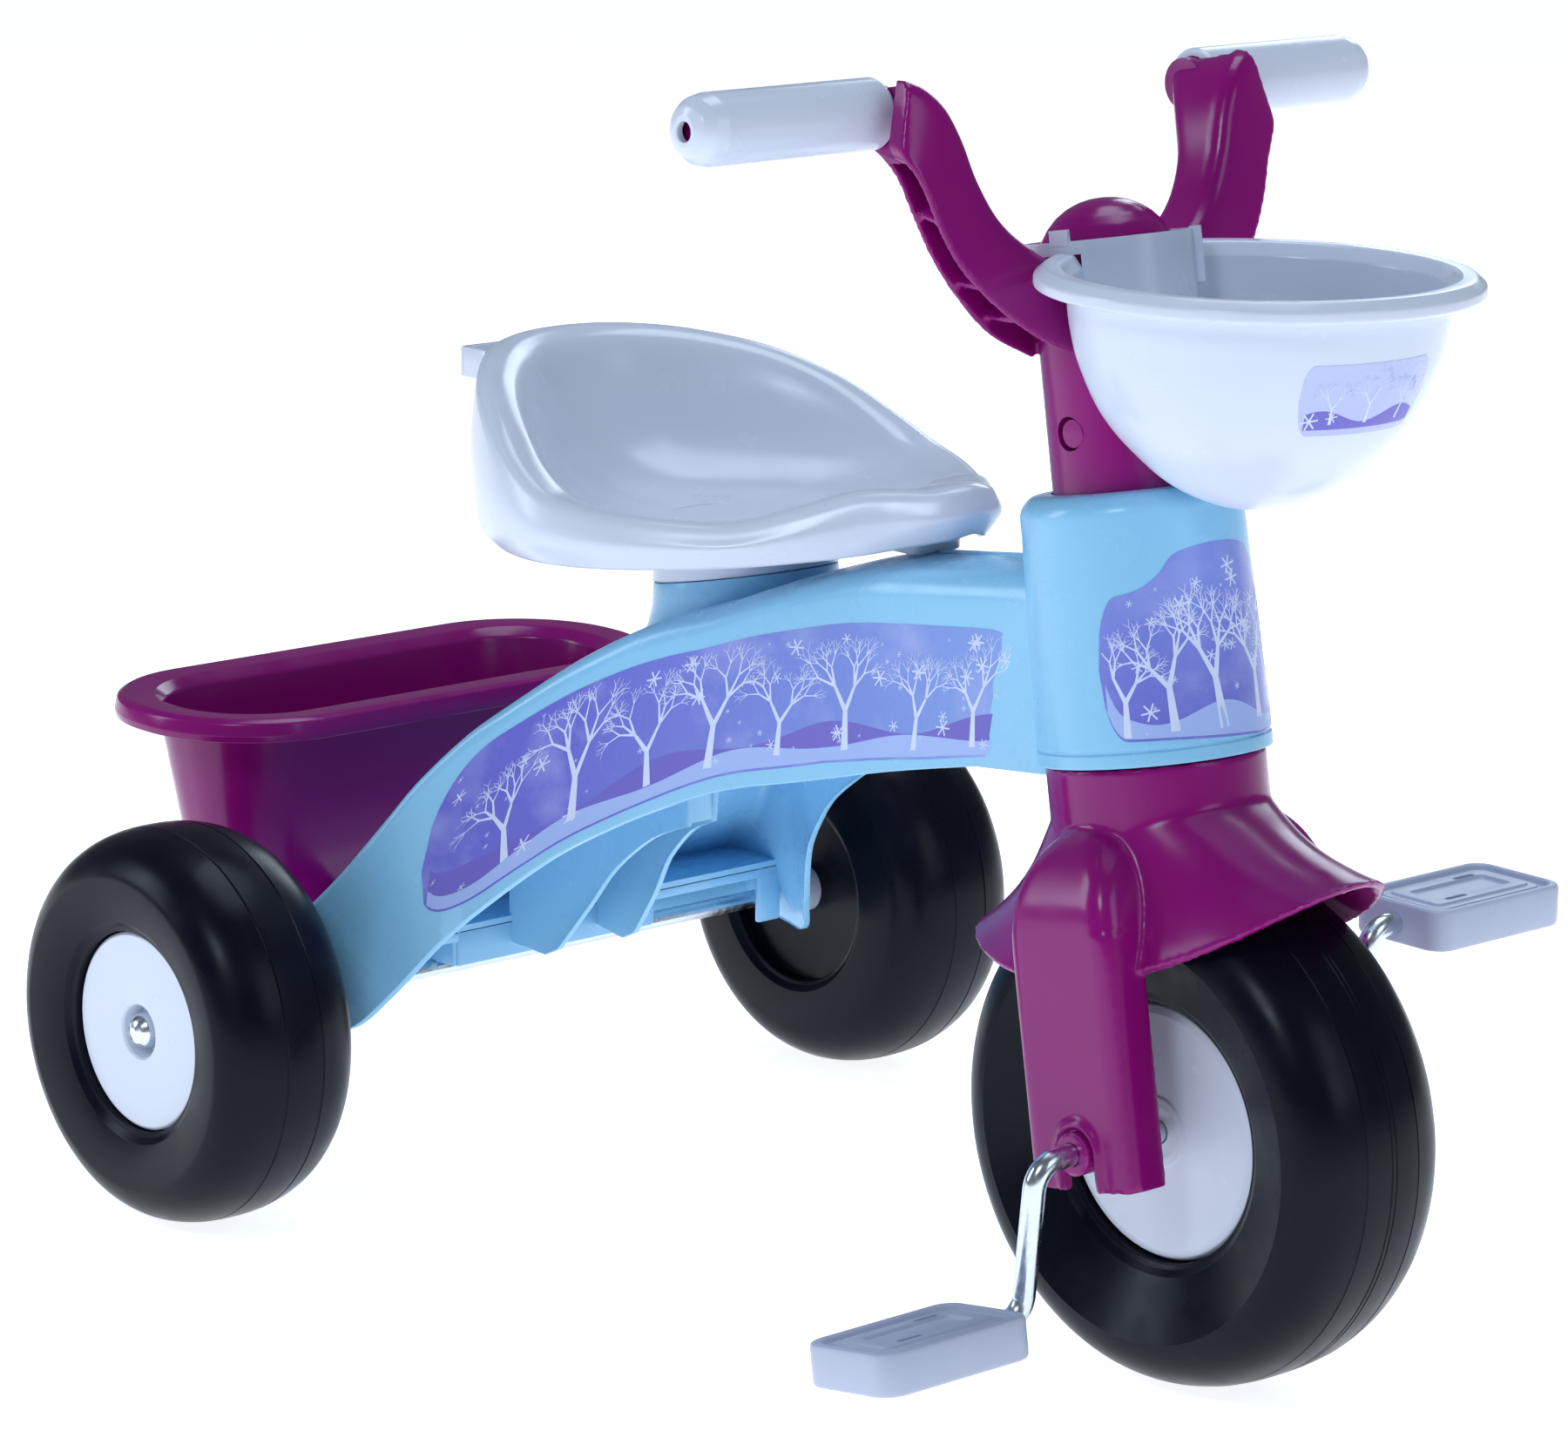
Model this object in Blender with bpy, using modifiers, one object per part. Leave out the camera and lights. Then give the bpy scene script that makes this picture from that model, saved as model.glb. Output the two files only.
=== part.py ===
"""Children's tricycle: moulded frame, fork, handlebar, seat, bins, wheels, crank and pedals.

Metres, +Z up, +X forward.  The origin is on the ground, under the middle of the bounding box.
Outlines are written in millimetres from the front axle and scaled by MM.  Pieces that steer are
written in the steering frame: f forward, y to the left and s up the raked column, from the centre
of the front wheel.
"""
import math

import bmesh
import bpy
from mathutils import Matrix, Vector

MM = 0.001
GAP = 0.3                      # clearance between touching pieces

# Driving dimensions, millimetres
FRONT_AXLE_X = 234.0           # front axle ahead of the origin
WHEELBASE = 406.8
FRONT_R = 102.0
FRONT_HALF_W = 39.0
FRONT_HUB_R = 51.0
FRONT_HUB_FACE = 22.0
REAR_R = 84.0
REAR_HALF_W = 35.0
REAR_TRACK_HALF = 186.5
REAR_HUB_R = 42.0
REAR_HUB_FACE = 24.5
RAKE = math.radians(10.0)      # the steering axis leans back by this much
COLUMN_F = -4.0                # steering axis, behind the wheel centre
LOWER_COLUMN_R = 42.5
JOURNAL_R = 38.0
UPPER_COLUMN_R = 29.5
STUB_R = 26.0
COLLAR_S = (143.5, 247.0)
COLLAR_R = (45.5, 43.0)
BOLT_S = 270.0
BOLT_R = 3.0
ROD_R = 4.5
CRANK_R = 63.5
CRANK_TILT = math.radians(5.4)
CRANK_ARM_Y = 87.0
PEDAL_Y = (102.0, 178.0)
PEDAL_SIZE = (48.0, 76.0, 17.0)
PEDAL_PITCH = (math.radians(-9.0), 0.0)
GRIP_F, GRIP_S = -34.0, 397.5
GRIP_R = 13.7
GRIP_Y = (85.3, 179.3)
CORE_R = 10.2
AXLE_Z = REAR_R
AXLE_R = 4.0
WALL = 3.0
PEDESTAL_X, PEDESTAL_R = -268.0, 38.5
SEAT_TILT = math.radians(11.0)
STEPS = 24

REAR_AXLE_X = -WHEELBASE
COLOURS = {
    "sky_blue": ((0.30, 0.66, 0.86), 0.28, 0.0),
    "magenta": ((0.30, 0.015, 0.16), 0.25, 0.0),
    "white": ((0.80, 0.82, 0.92), 0.30, 0.0),
    "black": ((0.012, 0.014, 0.022), 0.40, 0.0),
    "steel": ((0.62, 0.63, 0.65), 0.28, 1.0),
}

MODEL = None
CUTTERS = None
STEERING = None
CHASSIS = None


# ------------------------------------------------------------------ scene and object helpers

def clear_scene():
    for item in list(bpy.data.objects):
        bpy.data.objects.remove(item, do_unlink=True)


def new_collection(name):
    group = bpy.data.collections.new(name)
    bpy.context.scene.collection.children.link(group)
    return group


def material(name):
    found = bpy.data.materials.get(name)
    if found:
        return found
    colour, roughness, metallic = COLOURS[name]
    made = bpy.data.materials.new(name)
    made.use_nodes = True
    shader = made.node_tree.nodes["Principled BSDF"]
    shader.inputs["Base Color"].default_value = (*colour, 1.0)
    shader.inputs["Roughness"].default_value = roughness
    shader.inputs["Metallic"].default_value = metallic
    return made


def add_object(name, mesh, finish=None, parent=None):
    """Put a mesh in the model, or among the cutters when it has no finish."""
    item = bpy.data.objects.new(name, mesh)
    if finish:
        MODEL.objects.link(item)
        mesh.materials.append(material(finish))
    else:
        CUTTERS.objects.link(item)
        item.hide_render = True
        item.display_type = "WIRE"
    item.parent = parent
    return item


def add_empty(name, location, tilt, parent=None):
    empty = bpy.data.objects.new(name, None)
    MODEL.objects.link(empty)
    empty.parent = parent
    empty.location = location
    empty.rotation_euler = (0.0, tilt, 0.0)
    return empty


def mesh_from(name, points, faces):
    mesh = bpy.data.meshes.new(name)
    mesh.from_pydata([Vector(p) * MM for p in points], [], faces)
    mesh.update()
    return mesh


def face_outwards(mesh):
    work = bmesh.new()
    work.from_mesh(mesh)
    bmesh.ops.recalc_face_normals(work, faces=work.faces)
    work.to_mesh(mesh)
    work.free()


def smooth(item, angle=35.0):
    item.data.shade_smooth()
    item.data.set_sharp_from_angle(angle=math.radians(angle))


def boolean(item, other, operation="DIFFERENCE"):
    step = item.modifiers.new(operation.lower(), "BOOLEAN")
    step.object = other
    step.operation = operation
    step.solver = "EXACT"


def close_seams(item):
    """Weld the hairline gaps that booleans leave along their cuts."""
    step = item.modifiers.new("seams", "WELD")
    step.merge_threshold = 0.00002


# ------------------------------------------------------------------ shape makers

def turned(name, profile, finish=None, parent=None, steps=STEPS):
    """Turn (radius, height) points, listed down the outer side, about local Z."""
    mesh = bpy.data.meshes.new(name)
    points = [Vector((r, 0.0, h)) * MM for r, h in profile]
    closed = min(r for r, _ in profile) > 0.0
    edges = [(i, i + 1) for i in range(len(points) - 1)]
    if closed:
        edges.append((len(points) - 1, 0))
    mesh.from_pydata(points, edges, [])
    item = add_object(name, mesh, finish, parent)
    screw = item.modifiers.new("turn", "SCREW")
    screw.steps = steps
    screw.render_steps = steps
    screw.use_merge_vertices = True
    screw.merge_threshold = 0.00001
    screw.use_smooth_shade = True
    return item


def tube(name, radii, heights, finish=None, parent=None, steps=STEPS):
    """A plain ring: (inner, outer) radii and (low, high) heights."""
    inner, outer = radii
    low, high = heights
    profile = [(inner, high), (outer, high), (outer, low), (inner, low)]
    return turned(name, profile, finish, parent, steps)


def rod(name, radius, heights, finish=None, parent=None, steps=16):
    low, high = heights
    profile = [(0.0, high), (radius, high), (radius, low), (0.0, low)]
    return turned(name, profile, finish, parent, steps)


def block(name, low, high, finish=None, parent=None, bevel=0.0, segments=2):
    """A box between two corners, with its edges rounded."""
    work = bmesh.new()
    size = Vector(high) - Vector(low)
    middle = (Vector(high) + Vector(low)) / 2.0
    shape = Matrix.Translation(middle * MM) @ Matrix.Diagonal((*(size * MM), 1.0))
    bmesh.ops.create_cube(work, size=1.0, matrix=shape)
    mesh = bpy.data.meshes.new(name)
    work.to_mesh(mesh)
    work.free()
    item = add_object(name, mesh, finish, parent)
    if bevel:
        round_edges(item, bevel, segments)
    return item


def round_edges(item, width, segments=2):
    step = item.modifiers.new("round", "BEVEL")
    step.width = width * MM
    step.segments = segments
    step.limit_method = "ANGLE"


def loft(name, rings, finish=None, parent=None):
    """Join closed rings of points, each with as many points, and cap both ends."""
    count = len(rings[0])
    points = [p for ring in rings for p in ring]
    faces = []
    for k in range(len(rings) - 1):
        for i in range(count):
            j = (i + 1) % count
            a, b = k * count, (k + 1) * count
            faces.append((a + i, a + j, b + j, b + i))
    faces.append(tuple(reversed(range(count))))
    last = (len(rings) - 1) * count
    faces.append(tuple(last + i for i in range(count)))
    mesh = mesh_from(name, points, faces)
    face_outwards(mesh)
    return add_object(name, mesh, finish, parent)


def skin(name, rings, thickness, finish=None, parent=None):
    """An open surface through closed rings; the last ring shrinks to a floor.  Solidified."""
    count = len(rings[0])
    points = [p for ring in rings for p in ring]
    faces = []
    for k in range(len(rings) - 1):
        for i in range(count):
            j = (i + 1) % count
            a, b = k * count, (k + 1) * count
            faces.append((a + i, b + i, b + j, a + j))
    last = (len(rings) - 1) * count
    faces.append(tuple(last + i for i in reversed(range(count))))
    mesh = mesh_from(name, points, faces)
    item = add_object(name, mesh, finish, parent)
    solid = item.modifiers.new("thickness", "SOLIDIFY")
    solid.thickness = thickness * MM
    solid.offset = -1.0
    solid.use_even_offset = False
    return item


def rounded_rect(half_x, half_y, radius, per_corner=3):
    """Corner-rounded rectangle, anticlockwise, as (x, y) pairs."""
    centres = [(half_x - radius, half_y - radius), (radius - half_x, half_y - radius),
               (radius - half_x, radius - half_y), (half_x - radius, radius - half_y)]
    outline = []
    for corner, (cx, cy) in enumerate(centres):
        for k in range(per_corner + 1):
            turn = math.radians(90.0 * (corner + k / per_corner))
            outline.append((cx + radius * math.cos(turn), cy + radius * math.sin(turn)))
    return outline


# ------------------------------------------------------------------ frame, seat and bin

# x, bottom half width, bottom z, top half width, top z: sections of the beam from the collar back
BEAM = [
    (-45.0, 31.0, 236.0, 31.0, 312.5), (-75.0, 31.0, 233.5, 31.0, 309.5),
    (-107.0, 33.0, 227.0, 32.0, 305.0), (-140.0, 36.0, 219.5, 34.0, 300.5),
    (-165.0, 40.0, 213.0, 37.0, 296.5), (-190.0, 45.0, 206.5, 42.0, 289.0),
    (-213.0, 51.0, 201.0, 47.0, 281.0), (-232.0, 57.0, 194.5, 52.0, 273.0),
    (-252.0, 63.0, 185.5, 57.0, 266.0), (-272.0, 70.0, 175.0, 63.0, 257.0),
    (-299.0, 80.0, 158.0, 72.0, 241.0), (-326.0, 94.0, 134.0, 85.0, 220.0),
    (-341.0, 105.0, 117.0, 95.0, 206.0), (-357.0, 119.0, 93.0, 107.0, 186.0),
    (-370.0, 130.0, 78.0, 115.0, 167.0), (-390.0, 138.0, 76.0, 124.0, 141.0),
    (-410.0, 143.0, 76.0, 131.0, 120.0), (-432.0, 146.0, 78.0, 137.0, 100.0),
]
BEAM_CORNER = 11.0
BEAM_CROWN = 3.0
CROSS_BAR_X = (-424.0, -390.0)
RIB_FOOT = (-362.0, 21.5, 96.0)
RIB_HEAD = (-294.0, 7.0, 162.0)
FRONT_LEG_X = (-184.0, -152.0)
SCREW_R = 2.0
BIN_SCREW_Y, BIN_SCREW_Z = 50.0, 90.0
FRAME_END_X = -432.0

# half of the seat's crest from the nose to the back: x, y, z, and the skirt's lower edge z
SEAT_CREST = [
    (-134.0, 0.0, 332.0, 312.0), (-136.5, 8.0, 331.0, 310.0), (-143.0, 15.0, 329.5, 308.0),
    (-154.0, 23.0, 329.0, 305.0), (-165.0, 33.0, 327.5, 302.0), (-180.0, 49.0, 321.0, 299.0),
    (-200.0, 68.0, 314.0, 296.0), (-226.0, 87.0, 314.0, 293.5), (-248.0, 99.0, 315.5, 292.0),
    (-270.0, 104.0, 319.5, 291.0), (-292.0, 102.0, 329.0, 290.5), (-316.0, 93.0, 342.0, 290.5),
    (-342.0, 77.0, 352.5, 291.0), (-368.0, 53.0, 359.0, 293.0), (-386.0, 28.0, 361.5, 295.0),
    (-392.0, 0.0, 362.0, 296.0),
]
SEAT_MIDDLE = (-275.0, 0.0, 296.0)
SEAT_WALL = 2.8

BIN_RIM_Z, BIN_FLOOR_Z = 192.0, 92.0
BIN_MIDDLE_X = -509.5
BIN_RIM_HALF = (60.5, 135.0)
BIN_LIP = 21.5
BIN_FLOOR_HALF = (22.0, 97.0)


def beam_ring(row, wall=0.0, drop=0.0):
    """One inverted-U section of the beam; the inner one is smaller by wall and open by drop."""
    x, low_y, low_z, top_y, top_z = row
    low_y, top_y, top_z = low_y - wall, top_y - wall, top_z - wall
    low_z -= drop
    corner = BEAM_CORNER - wall
    half = [(low_y, low_z), ((low_y + top_y) / 2, (low_z + top_z) / 2), (top_y, top_z - corner),
            (top_y - 0.29 * corner, top_z - 0.29 * corner), (top_y - corner, top_z)]
    right = [(x, -y, z) for y, z in half]
    left = [(x, y, z) for y, z in reversed(half)]
    return right + [(x, 0.0, top_z + BEAM_CROWN)] + left


def pedestal(name, radius, low, top_drop, finish=None):
    """An upright round post whose top face is tilted like the seat."""
    slope = math.tan(SEAT_TILT)
    rings = []
    for level in (low, None):
        ring = []
        for k in range(STEPS):
            turn = 2.0 * math.pi * k / STEPS
            x = radius * math.cos(turn)
            z = level if level is not None else 275.0 - top_drop + slope * x
            ring.append((PEDESTAL_X + x, radius * math.sin(turn), z))
        rings.append(ring)
    return loft(name, rings, finish, CHASSIS)


def rib_plate(name, side):
    """A web from the cross bar to the beam's underside, part of the V under the pedestal."""
    half = WALL / 2.0
    foot_x, foot_y, foot_z = RIB_FOOT
    head_x, head_y, head_z = RIB_HEAD
    mid_x = foot_x + 0.45 * (head_x - foot_x)
    mid_z = foot_z + 0.62 * (head_z - foot_z)
    mid_y = foot_y + 0.45 * (head_y - foot_y)
    side_view = [(-392.0, 24.0, 94.0), (foot_x - 8.0, foot_y, foot_z - 4.0),
                 (foot_x, foot_y, foot_z), (mid_x, mid_y, mid_z), (head_x, head_y, head_z),
                 (head_x + 6.0, head_y, 246.0), (mid_x, mid_y, 213.0), (foot_x, foot_y, 176.0),
                 (-392.0, 24.0, 132.0)]
    rings = [[(x, side * (y + shift), z) for x, y, z in side_view] for shift in (-half, half)]
    return loft(name, rings, None, CHASSIS)


def frame_shell():
    """Beam, steering collar, seat pedestal, cross bar and ribs: one blue moulding."""
    frame = loft("frame_shell", [beam_ring(row) for row in BEAM], "sky_blue", CHASSIS)
    low, high = COLLAR_S
    wide, narrow = COLLAR_R
    outer = [(0.0, high), (34.0, high), (39.0, high - 1.5), (narrow - 0.8, high - 6.5),
             (narrow, high - 16.0), (wide, low + 10.0), (wide, low), (0.0, low)]
    boolean(frame, turned("collar_outer", outer, None, STEERING), "UNION")
    boolean(frame, pedestal("pedestal_outer", PEDESTAL_R, 235.0, 0.0), "UNION")
    boolean(frame, pedestal("pedestal_inner", PEDESTAL_R - WALL, 200.0, WALL))
    inner_rows = [row for row in BEAM if row[0] < -80.0]
    rear = inner_rows[-1]
    inner_rows[-1] = (rear[0] + WALL, *rear[1:])
    boolean(frame, loft("beam_inner", [beam_ring(row, WALL, 12.0) for row in inner_rows],
                        None, CHASSIS))
    rear, front = CROSS_BAR_X
    bar = block("cross_bar", (rear, -160.0, 78.0), (front, 160.0, 106.0), None, CHASSIS)
    bar_ends = loft("bar_ends", [beam_ring(row, WALL / 2.0, 30.0) for row in BEAM[8:]], None,
                    CHASSIS)
    boolean(bar, bar_ends, "INTERSECT")
    boolean(bar, block("bar_channel", (rear + WALL, -126.0, 60.0),
                       (front - WALL, 126.0, 106.0 - WALL), None, CHASSIS))
    boolean(bar, block("bar_front_cut", (front - 2.0 * WALL, -118.0, 60.0),
                       (front + WALL, 118.0, 88.0), None, CHASSIS))
    for side in (-1, 1):
        low_y, high_y = sorted((side * 55.0, side * 118.0))
        boolean(bar, block("bar_window", (front - 2.0 * WALL, low_y, 70.0),
                           (front + WALL, high_y, 99.0), None, CHASSIS))
    boolean(frame, bar, "UNION")
    for side in (-1, 1):
        boolean(frame, rib_plate("rib_" + ("right" if side < 0 else "left"), side), "UNION")
    inner = [(0.0, high + 5.0), (UPPER_COLUMN_R + 0.7, high + 5.0),
             (UPPER_COLUMN_R + 0.7, high - 8.0), (JOURNAL_R + 0.5, high - 8.0),
             (JOURNAL_R + 0.5, low), (LOWER_COLUMN_R + 0.6, low),
             (LOWER_COLUMN_R + 0.6, low - 12.0), (0.0, low - 12.0)]
    boolean(frame, turned("collar_bore", inner, None, STEERING))
    axle_way = rod("axle_way", AXLE_R + GAP, (-160.0, 160.0), None, CHASSIS)
    axle_way.rotation_euler = (math.radians(90.0), 0.0, 0.0)
    axle_way.location = Vector((REAR_AXLE_X, 0.0, AXLE_Z)) * MM
    boolean(frame, axle_way)
    for name, x in (("seat", PEDESTAL_X), ("front_leg", sum(FRONT_LEG_X) / 2)):
        way = rod(name + "_screw_way", SCREW_R + GAP, (220.0, 330.0), None, CHASSIS)
        way.location = Vector((x, 0.0, 0.0)) * MM
        boolean(frame, way)
    for side in (-1, 1):
        way = rod("bin_screw_way", SCREW_R + GAP, (-470.0, -420.0), None, CHASSIS)
        way.rotation_euler = (0.0, math.radians(90.0), 0.0)
        way.location = Vector((0.0, side * BIN_SCREW_Y, BIN_SCREW_Z)) * MM
        boolean(frame, way)
    close_seams(frame)
    smooth(frame)
    return frame


def seat_rings():
    """Rings of the seat's outer skirt, crest and basin, each a full turn round the seat."""
    half = SEAT_CREST
    full = half + [(x, -y, z, low) for x, y, z, low in reversed(half[1:-1])]
    count = len(full)
    mid_x, mid_y, mid_z = SEAT_MIDDLE
    rings = [[] for _ in range(9)]
    for i, (x, y, z, low) in enumerate(full):
        before, after = full[i - 1], full[(i + 1) % count]
        along = Vector((after[0] - before[0], after[1] - before[1], 0.0)).normalized()
        out = Vector((along.y, -along.x, 0.0))
        if out.dot(Vector((x - mid_x, y - mid_y, 0.0))) < 0.0:
            out = -out
        for k, (shift, level) in enumerate(((1.0, low), (5.5, low + 6.0), (8.0, (low + z) / 2),
                                            (5.5, z - 6.0), (0.0, z))):
            rings[k].append((x + shift * out.x, y + shift * out.y, level))
        horn = min(max((x + 185.0) / 30.0, 0.0), 1.0)
        shares = ((0.05, 0.08 - 0.05 * horn), (0.16, 0.38 - 0.30 * horn),
                  (0.42, 0.86 - 0.26 * horn), (0.72, 1.0))
        for k, (inward, depth) in enumerate(shares):
            rings[5 + k].append((x + inward * (mid_x - x), y + inward * (mid_y - y),
                                 z + depth * (mid_z - z)))
    return rings


def seat():
    """The bucket seat with its ring, front leg, screw bosses and push-bar slot."""
    item = skin("seat", seat_rings(), -SEAT_WALL, "white", CHASSIS)
    slope = math.tan(SEAT_TILT)
    ring = []
    for radius in (PEDESTAL_R + 0.2, PEDESTAL_R - WALL):
        low_ring, high_ring = [], []
        for k in range(STEPS):
            turn = 2.0 * math.pi * k / STEPS
            x, y = radius * math.cos(turn), radius * math.sin(turn)
            extra = 0.0 if radius > PEDESTAL_R else 3.0
            low_ring.append((PEDESTAL_X + x, y, 275.0 + GAP + slope * x - extra))
            high_ring.append((PEDESTAL_X + x, y, 296.0 + extra / 4))
        ring.append([low_ring, high_ring])
    post = loft("seat_ring", ring[0], None, CHASSIS)
    boolean(post, loft("seat_ring_bore", ring[1], None, CHASSIS))
    boolean(item, post, "UNION")
    boss = tube("seat_boss", (SCREW_R + GAP, 7.0), (278.5, 294.5), None, CHASSIS, 16)
    boss.location = Vector((PEDESTAL_X, 0.0, 0.0)) * MM
    boolean(item, boss, "UNION")
    leg_low, leg_high = FRONT_LEG_X
    leg = block("seat_leg", (leg_low, -13.0, 301.5), (leg_high, 13.0, 319.0), None, CHASSIS)
    leg_way = rod("seat_leg_way", SCREW_R + GAP, (290.0, 314.0), None, CHASSIS)
    leg_way.location = Vector(((leg_low + leg_high) / 2, 0.0, 0.0)) * MM
    boolean(leg, leg_way)
    boolean(item, leg, "UNION")
    lug = block("seat_lug", (-418.0, -32.0, 340.0), (-392.0, 32.0, 353.0), None, CHASSIS)
    slot = block("seat_slot", (-414.5, -28.0, 330.0), (-402.0, 28.0, 360.0), None, CHASSIS)
    boolean(lug, slot)
    boolean(item, lug, "UNION")
    smooth(item)
    return item


def bin_ring(half_x, half_y, radius, z):
    return [(BIN_MIDDLE_X + x, y, z) for x, y in rounded_rect(half_x, half_y, radius, 4)]


def rear_bin():
    """The bin behind the seat: a rolled lip, tapered walls and a flat floor."""
    rim_x, rim_y = BIN_RIM_HALF
    wall_x, wall_y = rim_x - BIN_LIP, rim_y - BIN_LIP
    floor_x, floor_y = BIN_FLOOR_HALF
    rings = [bin_ring(rim_x - 1.0, rim_y - 1.0, 57.0, BIN_RIM_Z - 10.0),
             bin_ring(rim_x, rim_y, 58.0, BIN_RIM_Z - 5.0),
             bin_ring(rim_x - 3.0, rim_y - 3.0, 55.0, BIN_RIM_Z),
             bin_ring(wall_x + 2.0, wall_y + 2.0, 40.5, BIN_RIM_Z - 1.0),
             bin_ring(wall_x, wall_y, 38.5, BIN_RIM_Z - 5.0),
             bin_ring(floor_x + 2.0, floor_y + 2.0, 23.5, BIN_FLOOR_Z + 10.0),
             bin_ring(floor_x - 6.0, floor_y - 6.0, 15.5, BIN_FLOOR_Z)]
    item = skin("rear_bin", rings, -WALL, "magenta", CHASSIS)
    for side in (-1, 1):
        low, high = sorted((side * (BIN_SCREW_Y - 9.0), side * (BIN_SCREW_Y + 9.0)))
        boss = block("bin_boss", (-491.0, low, BIN_SCREW_Z - 8.0),
                     (FRAME_END_X - GAP, high, BIN_SCREW_Z + 8.0), None, CHASSIS)
        way = rod("bin_boss_way", SCREW_R + GAP, (-456.0, -420.0), None, CHASSIS)
        way.rotation_euler = (0.0, math.radians(90.0), 0.0)
        way.location = Vector((0.0, side * BIN_SCREW_Y, BIN_SCREW_Z)) * MM
        boolean(boss, way)
        boolean(item, boss, "UNION")
    smooth(item)
    return item


def screw(name, place, turn, length):
    """A pan-head screw, head at the bottom and shank along local Z."""
    profile = [(0.0, length), (SCREW_R, length), (SCREW_R, 0.0), (4.5, 0.0), (4.0, -2.2),
               (0.0, -2.6)]
    item = turned(name, profile, "steel", CHASSIS, 16)
    item.location = Vector(place) * MM
    item.rotation_euler = turn
    return item


def chassis_fasteners():
    leg_x = sum(FRONT_LEG_X) / 2
    plate = 275.0 - WALL - GAP
    screw("seat_screw_rear", (PEDESTAL_X, 0.0, plate - 1.0), (0.0, 0.0, 0.0), 20.0)
    screw("seat_screw_front", (leg_x, 0.0, 290.5), (0.0, 0.0, 0.0), 22.0)
    for side, name in ((-1, "right"), (1, "left")):
        screw("bin_screw_" + name, (FRAME_END_X + WALL + GAP, side * BIN_SCREW_Y, BIN_SCREW_Z),
              (0.0, math.radians(-90.0), 0.0), 20.0)


def rear_axle():
    """The steel rod, its spacers beside the frame and its domed caps."""
    axle = rod("rear_axle", AXLE_R, (-209.0, 209.0), "steel", CHASSIS)
    axle.rotation_euler = (math.radians(90.0), 0.0, 0.0)
    axle.location = Vector((REAR_AXLE_X, 0.0, AXLE_Z)) * MM
    smooth(axle)
    for side, name in ((-1, "right"), (1, "left")):
        spacer = tube("axle_spacer_" + name, (AXLE_R + GAP, 9.0), (146.4, 150.9), "white",
                      CHASSIS, 20)
        cap_profile = [(0.0, 214.0), (3.5, 213.4), (6.2, 211.4), (7.6, 208.0), (8.0, 203.6),
                       (AXLE_R + GAP, 203.6), (AXLE_R + GAP, 209.5), (0.0, 210.5)]
        cap = turned("axle_cap_" + name, cap_profile, "steel", CHASSIS, 20)
        for piece in (spacer, cap):
            piece.rotation_euler = (math.radians(-90.0 * side), 0.0, 0.0)
            piece.location = Vector((REAR_AXLE_X, 0.0, AXLE_Z)) * MM


# ------------------------------------------------------------------ fork, handlebar and basket

LEG_LOW = -15.0
# height up the column, inner and outer faces, rear and front edges of a fork leg
LEG_PATH = [(LEG_LOW, 45.0, 65.0, -26.0, 30.0), (75.0, 45.0, 65.0, -26.0, 30.0),
            (92.0, 42.0, 62.5, -25.0, 29.0), (106.0, 36.0, 56.0, -22.0, 25.0),
            (117.0, 26.0, 44.0, -14.0, 16.0)]
CROWN_S = (108.0, 122.0)
SKIRT_MIDDLE_F = 2.5
SKIRT_HALF = (101.5, 53.0)
SKIRT_TOP_S = 126.0
# radial and downward shares of the skirt, from the column to the rim
SKIRT_SHARES = [(0.0, 0.0), (0.13, 0.18), (0.33, 0.45), (0.55, 0.68), (0.8, 0.88), (1.0, 1.0)]
# handlebar arm: inner (y, s), outer (y, s), front f, back f, from the grip to the column
ARM = [
    ((91.0, 411.5), (99.0, 383.0), -1.0, -43.5), ((83.0, 409.0), (98.0, 378.0), 1.0, -40.0),
    ((75.0, 399.5), (94.5, 372.0), 2.0, -34.0), ((68.5, 386.0), (90.5, 363.0), 2.5, -28.0),
    ((63.0, 369.0), (86.0, 350.0), 3.0, -24.0), ((54.0, 353.0), (77.5, 335.0), 4.0, -23.0),
    ((41.0, 341.0), (63.0, 319.0), 7.0, -24.0), ((28.0, 333.0), (44.0, 305.5), 10.0, -26.0),
    ((10.0, 328.0), (20.0, 297.0), 12.0, -27.0),
]
BASKET_X, BASKET_Z = 17.7, 433.6
BASKET_R = 84.0
BOWL = [(71.4, 423.0), (67.0, 401.0), (60.0, 385.0), (44.0, 365.5), (25.6, 352.0), (0.0, 346.0)]
BASKET_BAND_S = (315.0, 346.0)


def skirt_rings():
    rings = []
    for radial, down in SKIRT_SHARES:
        ring = []
        for k in range(STEPS):
            turn = 2.0 * math.pi * (k + 0.5) / STEPS
            rim_f = SKIRT_MIDDLE_F + SKIRT_HALF[0] * math.cos(turn)
            rim_y = SKIRT_HALF[1] * math.sin(turn)
            rim_s = 75.75 + 8.5 * math.cos(turn) + 11.75 * math.cos(2.0 * turn)
            top_f = (LOWER_COLUMN_R - 2.0) * math.cos(turn)
            top_y = (LOWER_COLUMN_R - 2.0) * math.sin(turn)
            ring.append((top_f + radial * (rim_f - top_f), top_y + radial * (rim_y - top_y),
                         SKIRT_TOP_S + down * (rim_s - SKIRT_TOP_S)))
        rings.append(ring)
    return list(reversed(rings))


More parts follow.
